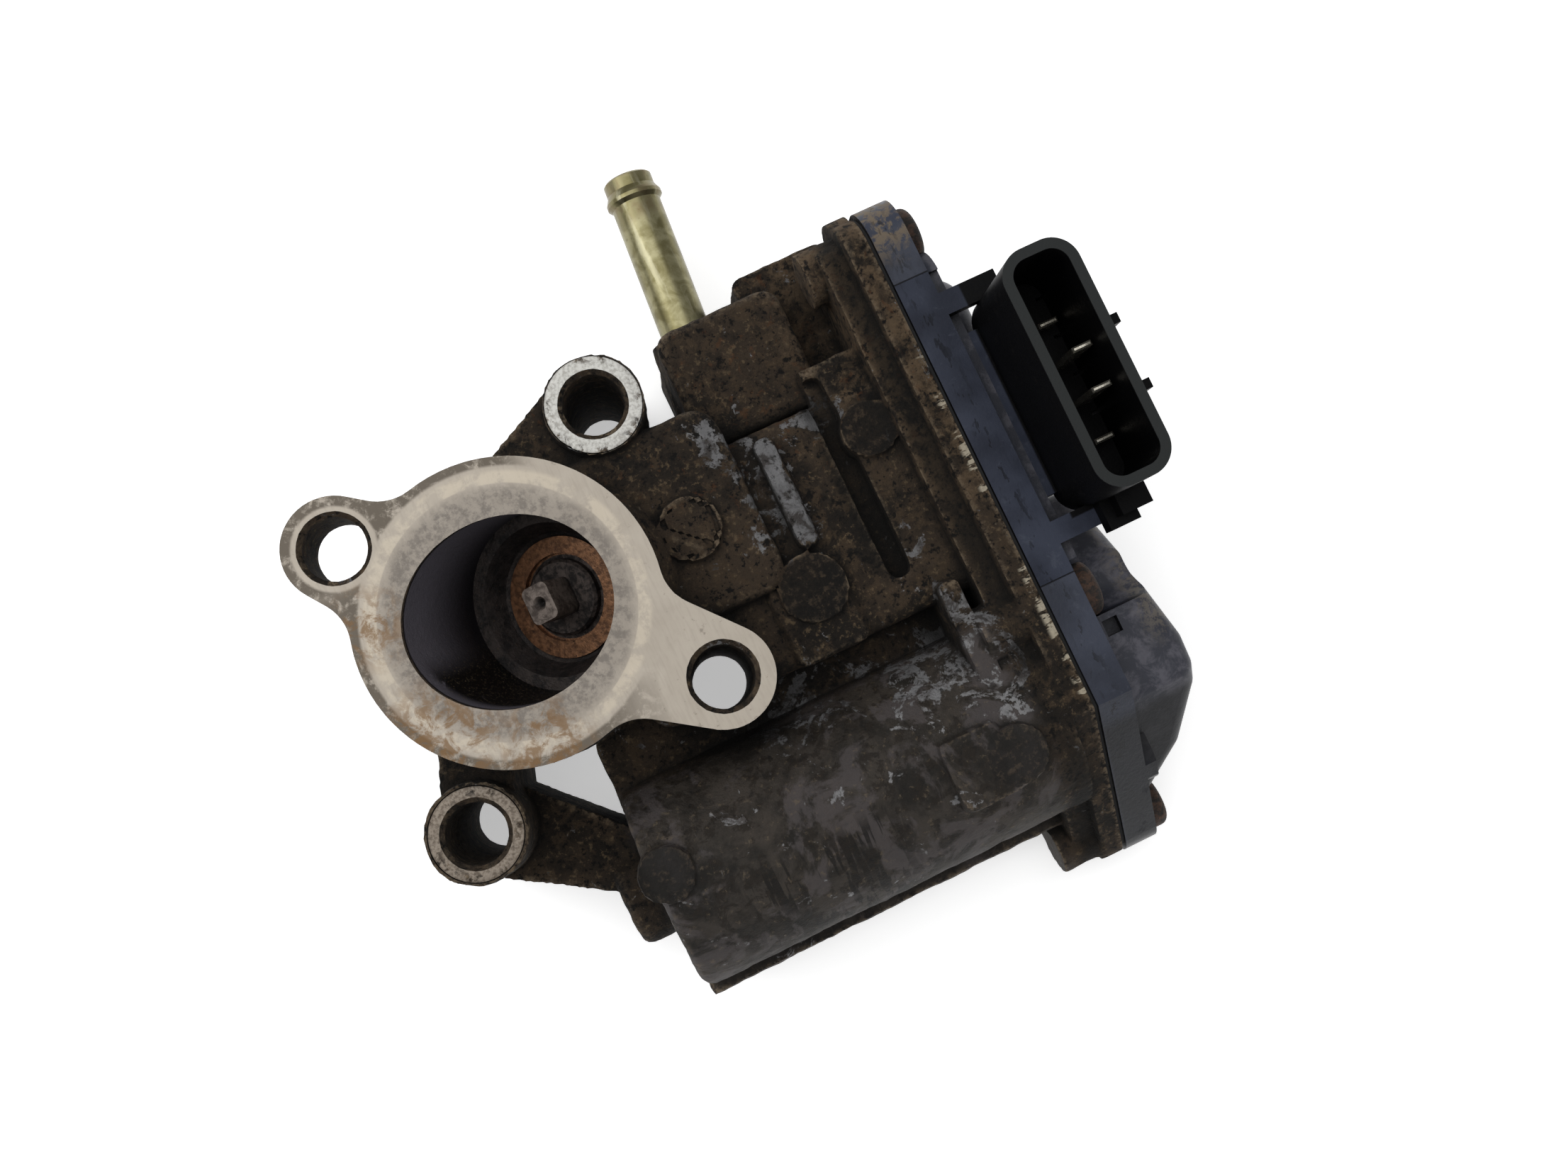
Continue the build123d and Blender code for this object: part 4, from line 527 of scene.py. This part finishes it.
def satin_strip(f, colours):
    """Colour, roughness and seams of the satin plastic, with specks and a corroded corner."""
    cloud = f.noise(9, detail=4, roughness=0.5)
    colour = f.blend(f.step(cloud, 0.35, 0.65), colours.cover_dark, colours.cover_light)
    scuff = f.step(f.noise(2.4, detail=6, roughness=0.7, distortion=0.4, offset=5.0), 0.56, 0.68)
    colour = f.over(colour, SATIN_SCUFF, scuff, 0.4)
    corrosion = f.noise(1.8, detail=6, roughness=0.72, distortion=0.6, offset=8.0)
    grime = f.both(f.x(86.2, 85.4), f.y(22, 28), f.step(corrosion, 0.44, 0.56))
    colour = f.over(colour, CORNER_CORROSION, grime, 0.85)
    dashes = f.noise(0.9, detail=3, roughness=0.6, stretch=(1, 0.35, 1), offset=12.0)
    line = f.both(f.x(79.6, 82.5), f.step(dashes, 0.56, 0.60), f.x(84, 81))
    dots = f.noise(0.5, detail=2, roughness=0.5, offset=17.0)
    specks = f.either(f.step(dots, 0.715, 0.745), line)
    colour = f.over(colour, SATIN_SPECK, specks, 0.85)
    seams = f.either(f.both(f.y(20.18, 20.24), f.y(20.42, 20.36)),
                     f.both(f.y(-29.02, -28.96), f.y(-28.78, -28.84)))
    seams = f.both(seams, f.x(86.0, 85.6), f.z(30, 31))
    colour = f.over(colour, SEAM_BLACK, seams, 0.9)
    roughness = f.between(f.either(grime, scuff), 0.34, 0.6)
    return colour, roughness, seams


def cover_satin(colours):
    """Blue-black cover: satin on top, a painted sheen on the dome's upward faces, wear where hands
    rub its crown, and painted shade on its sides, slope and corners.
    """
    f = Finish("cover_satin", specular=0.20)
    colour, roughness, seams = satin_strip(f, colours)
    dome = f.both(f.x(85.6, 86.4), f.upward(0.25, 0.6))
    blotches = f.noise(3.5, detail=6, roughness=0.72, distortion=0.5, offset=41.0)
    # Painted reflection: the dome's upward faces are lightened in grey blotches.
    colour = f.over(colour, f.blend(f.step(blotches, 0.44, 0.62), DOME_SHEEN_DARK, DOME_SHEEN_PALE), dome, 0.85)
    wear = f.noise(1.2, detail=6, roughness=0.75, offset=43.0)
    crown = f.both(f.x(91, 94.5), f.upward(0.1, 0.5), f.y(-46, -40), f.step(wear, 0.46, 0.56))
    colour = f.over(colour, CROWN_WEAR, crown, 0.7)
    slope = f.both(f.y(-50.0, -53.0), f.x(79, 80))
    # Painted shade: black on the dome's -y slope, on faces that look sideways and in occluded
    # corners.
    colour = f.over(colour, SLOPE_SHADE, slope, 0.85)
    colour = f.over(colour, SIDE_SHADE, f.upward(0.5, 0.2), 0.9)
    colour = f.over(colour, CORNER_SHADE, f.hollows(3.0, 0.4, 0.75), 0.7)
    grain = f.noise(0.6, detail=5, roughness=0.65, offset=4.0)
    relief = f.bump(f.math("SUBTRACT", grain, f.math("MULTIPLY", seams, SEAM_DEPTH)), 0.05)
    return f.done(colour, f.between(dome, roughness, 0.46), 0.0, relief)


def moulded_black(colours):
    """Black plug socket, with the strip and arm that carry it in the cover's satin."""
    f = Finish("moulded_black", specular=0.07)
    strip_colour, strip_roughness, seams = satin_strip(f, colours)
    grain = f.noise(0.5, detail=3, roughness=0.6)
    blotches = f.step(f.noise(4, detail=6, roughness=0.7, distortion=0.5), 0.55, 0.68)
    colour = f.over(colours.socket_black, SOCKET_DUST, blotches, 0.3)
    # Painted highlight: a grey band along the top edge of the socket rim.
    colour = f.over(colour, RIM_HIGHLIGHT, f.z(55.7, 55.95), 0.9)
    deck = f.both(f.z(39.6, 38.6), f.z(33.0, 34.0), f.upward(0.6, 0.9),
                  f.either(f.x(88.4, 88.0), f.y(-21.7, -22.0)))
    colour = f.over(colour, strip_colour, deck)
    roughness = f.between(deck, f.between(blotches, 0.46, 0.62), strip_roughness)
    relief = f.bump(f.math("SUBTRACT", grain, f.math("MULTIPLY", seams, SEAM_DEPTH)), 0.04)
    return f.done(colour, roughness, 0.0, relief)


# ---------------------------------------------------------------- pipe, screws and valve
HEAD_DARK, HEAD_RUST = rgb(26, 21, 18), rgb(96, 66, 42)
PLATING_STREAK, PLATING_BAND = rgb(182, 178, 152), rgb(92, 76, 50)
# The second colour here is painted light on the seat's upward faces.
STEEL_CARBON, STEEL_LIT_TOP, STEEL_RUST = rgb(14, 12, 12), rgb(66, 58, 54), rgb(86, 66, 50)
MIDDLE_SOOT, MIDDLE_GREY = rgb(22, 19, 18), rgb(70, 62, 58)
RING_DARK, RING_COPPER, RING_SOOT = rgb(78, 53, 36), rgb(122, 86, 60), rgb(16, 13, 12)
# The third colour here is painted shade in the tang's corners.
TANG_DARK, TANG_PALE, TANG_CORNER_SHADE = rgb(62, 54, 49), rgb(112, 102, 95), rgb(20, 17, 16)


def rusty_head(colours):
    """Cover screw: dark head with patches of rust."""
    f = Finish("rusty_head")
    blotch = f.noise(1.6, detail=6, roughness=0.7, distortion=0.5)
    fine = f.noise(0.4, detail=4, roughness=0.6)
    colour = f.blend(f.step(blotch, 0.42, 0.6), HEAD_DARK, colours.screw_brown)
    colour = f.over(colour, HEAD_RUST, f.step(fine, 0.6, 0.7), 0.6)
    relief = f.bump(f.math("ADD", blotch, fine), 0.2)
    return f.done(colour, f.between(blotch, 0.9, 0.6), 0.2, relief)


def yellow_plating(colours):
    """Coolant pipe: yellow-green plating, streaked, worn and brown near the casting."""
    f = Finish("yellow_plating")
    cloud = f.noise(3.0, detail=5, roughness=0.6, distortion=0.6)
    colour = f.blend(f.step(cloud, 0.35, 0.65), colours.plating_dark, colours.plating_light)
    worn = f.step(f.noise(1.2, detail=5, roughness=0.72, offset=5.0), 0.57, 0.66)
    colour = f.over(colour, colours.plating_dark, worn, 0.6)
    streak = f.noise(2.0, detail=4, roughness=0.6, stretch=(1, 0.15, 1), offset=8.0)
    colour = f.over(colour, PLATING_STREAK, f.step(streak, 0.52, 0.64), 0.4)
    band = f.both(f.y(50.0, 52.0), f.step(cloud, 0.45, 0.6), 0.6)
    colour = f.over(colour, PLATING_BAND, band)
    return f.done(colour, f.between(cloud, 0.24, 0.40), 0.85, f.bump(cloud, 0.03))


def sooty_steel(colours):
    """Valve seat: heat-browned steel under carbon."""
    f = Finish("sooty_steel")
    carbon = f.noise(1.6, detail=7, roughness=0.72, distortion=0.4)
    fine = f.noise(0.45, detail=4, roughness=0.65, offset=3.0)
    colour = f.blend(f.step(carbon, 0.40, 0.60), STEEL_CARBON, colours.steel_brown)
    patches = f.noise(2.4, detail=5, roughness=0.7, offset=9.0)
    # Painted light: lighter patches only on faces that look up.
    top = f.both(f.upward(0.6, 0.85), f.step(patches, 0.42, 0.56), 0.5)
    colour = f.over(colour, STEEL_LIT_TOP, top)
    colour = f.over(colour, STEEL_RUST, f.step(fine, 0.60, 0.70), 0.4)
    relief = f.bump(f.math("ADD", carbon, fine), 0.18)
    return f.done(colour, f.between(carbon, 0.75, 0.42), 0.5, relief)


def burnt_head():
    """Valve head: a copper-brown ring burnt clean round a sooty middle."""
    f = Finish("burnt_head")
    carbon = f.noise(1.4, detail=7, roughness=0.72, distortion=0.4)
    ring = f.step(f.round_line(VALVE_AXIS_POINT, VALVE_AXIS, 6.0, 6.6), 0.7, 0.3)
    lines = f.noise(0.7, detail=3, roughness=0.6, offset=3.0)
    middle = f.blend(f.step(carbon, 0.42, 0.60), MIDDLE_SOOT, MIDDLE_GREY)
    burnt = f.blend(f.step(lines, 0.35, 0.65), RING_DARK, RING_COPPER)
    burnt = f.over(burnt, RING_SOOT, f.step(carbon, 0.56, 0.62), f.y(2, -6))
    colour = f.over(middle, burnt, ring)
    relief = f.bump(f.math("ADD", carbon, lines), 0.06)
    return f.done(colour, f.between(ring, 0.6, 0.36), 0.7, relief)


def sooty_tang():
    """Stem and its squared end: dull grey scale, with painted shade in the corners."""
    f = Finish("sooty_tang")
    scale = f.noise(1.5, detail=7, roughness=0.72, distortion=0.4, offset=2.0)
    colour = f.blend(f.step(scale, 0.40, 0.60), TANG_DARK, TANG_PALE)
    # Painted shade: dark laid into the occluded corners.
    colour = f.over(colour, TANG_CORNER_SHADE, f.step(f.hollows(1.5, 0.5, 0.9), 0.1, 0.9))
    return f.done(colour, f.between(scale, 0.62, 0.42), 0.6, f.bump(scale, 0.08))


# ---------------------------------------------------------------- plain finishes
def turned_metal(name, light, dark, roughness, metallic):
    """Plain machined metal with fine uneven tone."""
    f = Finish(name)
    cloud = f.noise(2.5, detail=4, roughness=0.55)
    lines = f.noise(0.6, detail=2, roughness=0.5, stretch=(1.0, 0.15, 0.15))
    colour = f.blend(f.step(cloud, 0.3, 0.7), light, dark)
    shine = f.between(lines, roughness * 0.8, roughness * 1.25)
    return f.done(colour, shine, metallic, f.bump(lines, 0.015))


def moulded_part(name, light, dark, roughness):
    """Plastic, rubber, graphite or magnet: matte with a faint grain."""
    f = Finish(name)
    grain = f.noise(0.4, detail=3, roughness=0.6)
    cloud = f.noise(4.0, detail=4, roughness=0.6)
    return f.done(f.blend(cloud, light, dark), roughness, 0.0, f.bump(grain, 0.03))


PAPER_DARK, PAPER_LIGHT = rgb(240, 240, 240), rgb(246, 246, 246)

TURNED_METALS = {
    # slot: material name, light, dark, roughness, metallic
    "bronze": ("bush_bronze", rgb(176, 128, 74), rgb(128, 88, 50), 0.35, 0.9),
    "steel": ("ground_steel", rgb(170, 171, 172), rgb(128, 129, 131), 0.28, 0.9),
    "zinc_steel": ("zinc_plate", rgb(168, 172, 176), rgb(132, 137, 142), 0.38, 0.9),
    "spring_steel": ("spring_steel", rgb(110, 110, 114), rgb(78, 78, 82), 0.35, 0.9),
    "tinned_copper": ("tin_blade", rgb(204, 200, 188), rgb(166, 160, 146), 0.25, 0.9),
    "copper": ("copper_bars", rgb(196, 124, 84), rgb(150, 90, 58), 0.3, 0.9),
    "brass_gear": ("pinion_brass", rgb(198, 164, 92), rgb(156, 124, 64), 0.3, 0.9),
    "armature_steel": ("armature_stack", rgb(92, 93, 98), rgb(60, 61, 66), 0.5, 0.7),
}

MOULDED_PARTS = {
    # slot: material name, light, dark, roughness
    "ferrite": ("ferrite", rgb(44, 44, 47), rgb(26, 26, 28), 0.7),
    "graphite": ("graphite", rgb(34, 34, 35), rgb(18, 18, 19), 0.6),
    "gear_plastic": ("nylon_gear", rgb(216, 208, 184), rgb(190, 180, 152), 0.45),
    "gasket_rubber": ("gasket_rubber", rgb(16, 16, 16), rgb(8, 8, 8), 0.8),
    "circuit_board": ("sensor_board", rgb(24, 84, 52), rgb(14, 60, 36), 0.4),
}

WEATHERED = {
    "cast_aluminium": cast_crust,
    "cover_plastic": cover_satin,
    "black_plastic": moulded_black,
    "rusty_steel": rusty_head,
    "yellow_zinc": yellow_plating,
    "heat_stained_steel": sooty_steel,
}

FINISH_OF_NODE = {
    "valve_head": burnt_head,
    "valve_stem": sooty_tang,
}


def finish_of_slot(slot, colours):
    """Finish of one of the record's material slots."""
    if slot in TURNED_METALS:
        return turned_metal(*TURNED_METALS[slot])
    if slot in MOULDED_PARTS:
        return moulded_part(*MOULDED_PARTS[slot])
    return WEATHERED[slot](colours)


# ---------------------------------------------------------------- what a user would change
COLOUR = {"size": 4, "min": 0.0, "max": 1.0, "subtype": "COLOR"}


class FinishColours(bpy.types.PropertyGroup):
    """Main colours of the weathered finishes"""
    crust_dark: bpy.props.FloatVectorProperty(
        name="Crust, dark", description="Shadows of the casting's crust",
        default=rgb(28, 24, 20), **COLOUR)
    crust_brown: bpy.props.FloatVectorProperty(
        name="Crust, brown", description="Body of the casting's crust",
        default=rgb(58, 48, 38), **COLOUR)
    flange_dark: bpy.props.FloatVectorProperty(
        name="Flange, dark", description="Darker clouds of the flange face",
        default=rgb(148, 139, 127), **COLOUR)
    flange_light: bpy.props.FloatVectorProperty(
        name="Flange, light", description="Lighter clouds of the flange face",
        default=rgb(178, 170, 158), **COLOUR)
    cover_dark: bpy.props.FloatVectorProperty(
        name="Cover, dark", description="Darker clouds of the satin cover",
        default=rgb(38, 41, 51), **COLOUR)
    cover_light: bpy.props.FloatVectorProperty(
        name="Cover, light", description="Lighter clouds of the satin cover",
        default=rgb(53, 57, 69), **COLOUR)
    socket_black: bpy.props.FloatVectorProperty(
        name="Socket", description="Plastic of the plug socket",
        default=rgb(7, 7, 8), **COLOUR)
    screw_brown: bpy.props.FloatVectorProperty(
        name="Screws", description="Brown scale on the cover screws",
        default=rgb(64, 44, 32), **COLOUR)
    steel_brown: bpy.props.FloatVectorProperty(
        name="Valve seat", description="Heat-browned steel of the valve seat",
        default=rgb(40, 35, 34), **COLOUR)
    plating_dark: bpy.props.FloatVectorProperty(
        name="Plating, dark", description="Dull places of the pipe's plating",
        default=rgb(104, 98, 66), **COLOUR)
    plating_light: bpy.props.FloatVectorProperty(
        name="Plating, light", description="Fresh places of the pipe's plating",
        default=rgb(142, 137, 106), **COLOUR)


class CastSkinSizes(bpy.types.PropertyGroup):
    """Sizes of the body's cast skin"""
    fineness: bpy.props.IntProperty(
        name="Fineness", description="How often the skin's grid is halved", default=7)
    softening: bpy.props.IntProperty(
        name="Softening", description="Rounds of smoothing on cast edges", default=3)
    lump_size: bpy.props.FloatProperty(
        name="Lump size", description="Width of the casting's uneven lumps",
        default=5.0 * MM, unit="LENGTH")
    lump_depth: bpy.props.FloatProperty(
        name="Lump depth", description="Height of the lumps",
        default=0.45 * MM, unit="LENGTH")
    pit_size: bpy.props.FloatProperty(
        name="Pit size", description="Width of the sand pits",
        default=1.3 * MM, unit="LENGTH")
    pit_depth: bpy.props.FloatProperty(
        name="Pit depth", description="Depth of the sand pits",
        default=0.30 * MM, unit="LENGTH")


class StageSizes(bpy.types.PropertyGroup):
    """Sizes and brightness of the stage"""
    floor_size: bpy.props.FloatProperty(
        name="Floor", description="Side of the floor", default=3.0, unit="LENGTH")
    floor_glow: bpy.props.FloatProperty(
        name="Floor glow", description="Light that the floor gives by itself", default=0.45)
    sky: bpy.props.FloatProperty(
        name="Sky", description="Brightness of the even light from all round", default=0.42)
    lens: bpy.props.FloatProperty(
        name="Lens", description="Camera focal length in millimetres", default=35.80,
        unit="CAMERA")


# ---------------------------------------------------------------- operators
def merged_copy(context, node, name):
    """Copy of a node, with its loose triangles joined, left selected and active."""
    packed = NODES[node]
    bpy.ops.object.select_all(action="DESELECT")
    piece = packed.copy()
    piece.data = packed.data.copy()
    piece.name = name
    context.scene.collection.objects.link(piece)
    piece.select_set(True)
    context.view_layer.objects.active = piece
    bpy.ops.object.mode_set(mode="EDIT")
    bpy.ops.mesh.select_all(action="SELECT")
    bpy.ops.mesh.remove_doubles(threshold=MERGE_DISTANCE)
    bpy.ops.object.mode_set(mode="OBJECT")
    return piece


def is_cast(vertex):
    """True where the casting is left as cast, away from its machined faces and bores."""
    x, y, z = (value / MM for value in vertex.co)
    if z > CAST_TOP_Z or z < CAST_BOTTOM_Z or x > CAST_END_X:
        return False
    if abs(z - BOSS_Z) < BOSS_FACE_REACH and vertex.normal.z > BOSS_FACE_UPRIGHT:
        return False
    offset = Vector((x, y, z)) - Vector(VALVE_AXIS_POINT)
    if offset.cross(Vector(VALVE_AXIS)).length < PORT_BORE_REACH:
        return False
    return all(math.hypot(x - hole_x, y - hole_y) > BOLT_BORE_REACH
               for hole_x, hole_y in BOLT_HOLES)


class EGR_OT_finishes(bpy.types.Operator):
    """Gives every carried-over piece its finish"""
    bl_idname = "egr.finishes"
    bl_label = "Finishes"

    def execute(self, context):
        made = {}
        for row in frame["record"]["subparts"]:
            node, slot = row["node"], row["material_slot"]
            if slot not in made:
                made[slot] = finish_of_slot(slot, context.scene.egr_colours)
            finish = FINISH_OF_NODE[node]() if node in FINISH_OF_NODE else made[slot]
            NODES[node].data.materials.clear()
            NODES[node].data.materials.append(finish)
        return {"FINISHED"}


class EGR_OT_cast_skin(bpy.types.Operator):
    """Sand-cast skin of the body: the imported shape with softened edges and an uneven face"""
    bl_idname = "egr.cast_skin"
    bl_label = "Cast skin"

    def execute(self, context):
        sizes = context.scene.egr_skin
        skin = merged_copy(context, "valve_body", "cast_skin")
        remesh = skin.modifiers.new("remesh", "REMESH")
        remesh.mode = "SHARP"
        remesh.octree_depth = sizes.fineness
        remesh.scale = GRID_FILL
        remesh.use_remove_disconnected = False
        bpy.ops.object.modifier_apply(modifier=remesh.name)

        as_cast = [vertex.index for vertex in skin.data.vertices if is_cast(vertex)]
        skin.vertex_groups.new(name=CAST_GROUP).add(as_cast, 1.0, "REPLACE")
        soften = skin.modifiers.new("soften", "SMOOTH")
        soften.iterations = sizes.softening
        soften.vertex_group = CAST_GROUP
        bpy.ops.object.modifier_apply(modifier=soften.name)
        for name, size, depth in (("lumps", sizes.lump_size, sizes.lump_depth),
                                  ("pits", sizes.pit_size, sizes.pit_depth)):
            pattern = bpy.data.textures.new(name, "CLOUDS")
            pattern.noise_scale = size
            pattern.noise_depth = RELIEF_DETAIL
            relief = skin.modifiers.new(name, "DISPLACE")
            relief.texture = pattern
            relief.texture_coords = "LOCAL"
            relief.strength = depth
            relief.mid_level = RELIEF_MIDDLE
            relief.vertex_group = CAST_GROUP
            bpy.ops.object.modifier_apply(modifier=relief.name)
        bpy.ops.object.shade_smooth_by_angle(angle=SMOOTH_ANGLE)
        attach(skin, "housing")
        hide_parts("valve_body")
        return {"FINISHED"}


class EGR_OT_spring(bpy.types.Operator):
    """Return spring, as a smooth-shaded copy with its own mesh in place of the imported one"""
    bl_idname = "egr.spring"
    bl_label = "Return spring"

    def execute(self, context):
        spring = merged_copy(context, "return_spring", "closing_spring")
        bpy.ops.object.shade_smooth_by_angle(angle=SMOOTH_ANGLE)
        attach(spring, "housing")
        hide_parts("return_spring")
        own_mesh(spring)
        return {"FINISHED"}


class EGR_OT_stage(bpy.types.Operator):
    """Floor, lights and camera"""
    bl_idname = "egr.stage"
    bl_label = "Stage"

    def execute(self, context):
        sizes = context.scene.egr_stage
        bpy.ops.object.select_all(action="DESELECT")
        bpy.ops.mesh.primitive_plane_add(size=sizes.floor_size, location=(0, 0, -FLOOR_DROP))
        floor = context.object
        floor.name = "floor"
        f = Finish("floor_paper")
        f.surface.inputs["Emission Color"].default_value = (1.0, 1.0, 1.0, 1.0)
        f.surface.inputs["Emission Strength"].default_value = sizes.floor_glow
        paper = f.blend(f.noise(200, detail=3), PAPER_DARK, PAPER_LIGHT)
        floor.data.materials.append(f.done(paper, 0.9, 0.0))

        world = bpy.data.worlds.new("studio")
        context.scene.world = world
        world.use_nodes = True
        sky = world.node_tree.nodes["Background"]
        sky.inputs["Color"].default_value = (1, 1, 1, 1)
        sky.inputs["Strength"].default_value = sizes.sky
        context.scene.view_settings.view_transform = "Standard"

        for name, place, target, size, power in STUDIO_LIGHTS:
            light = bpy.data.lights.new(name, "AREA")
            light.size = size
            light.energy = power
            lamp = bpy.data.objects.new(name, light)
            lamp.location = place
            aim = Vector(target) - Vector(place)
            lamp.rotation_euler = aim.to_track_quat("-Z", "Y").to_euler()
            context.scene.collection.objects.link(lamp)

        lens = bpy.data.cameras.new("camera")
        lens.lens = sizes.lens
        lens.sensor_width = CAMERA_SENSOR
        lens.clip_start = CAMERA_NEAR
        camera = bpy.data.objects.new("camera", lens)
        turn = Matrix((CAMERA_RIGHT, CAMERA_UP, CAMERA_BACK)).transposed()
        camera.matrix_world = Matrix.Translation(CAMERA_PLACE) @ turn.to_4x4()
        context.scene.collection.objects.link(camera)
        context.scene.camera = camera
        return {"FINISHED"}


class EGR_PT_panel(bpy.types.Panel):
    """Colours, sizes and steps of the dressed valve"""
    bl_label = "EGR valve"
    bl_space_type = "VIEW_3D"
    bl_region_type = "UI"
    bl_category = "EGR valve"

    def draw(self, context):
        scene = context.scene
        for group in (scene.egr_colours, scene.egr_skin, scene.egr_stage):
            for name in type(group).__annotations__:
                self.layout.prop(group, name)
        for operator in OPERATORS:
            self.layout.operator(operator.bl_idname)


OPERATORS = (EGR_OT_finishes, EGR_OT_cast_skin, EGR_OT_spring, EGR_OT_stage)
CLASSES = (FinishColours, CastSkinSizes, StageSizes) + OPERATORS + (EGR_PT_panel,)


def register():
    for item in CLASSES:
        bpy.utils.register_class(item)
    bpy.types.Scene.egr_colours = bpy.props.PointerProperty(type=FinishColours)
    bpy.types.Scene.egr_skin = bpy.props.PointerProperty(type=CastSkinSizes)
    bpy.types.Scene.egr_stage = bpy.props.PointerProperty(type=StageSizes)


def unregister():
    del bpy.types.Scene.egr_colours
    del bpy.types.Scene.egr_skin
    del bpy.types.Scene.egr_stage
    for item in reversed(CLASSES):
        bpy.utils.unregister_class(item)


def main():
    register()
    bpy.ops.egr.finishes()
    bpy.ops.egr.cast_skin()
    bpy.ops.egr.spring()
    bpy.ops.egr.stage()


if __name__ == "__main__":
    main()
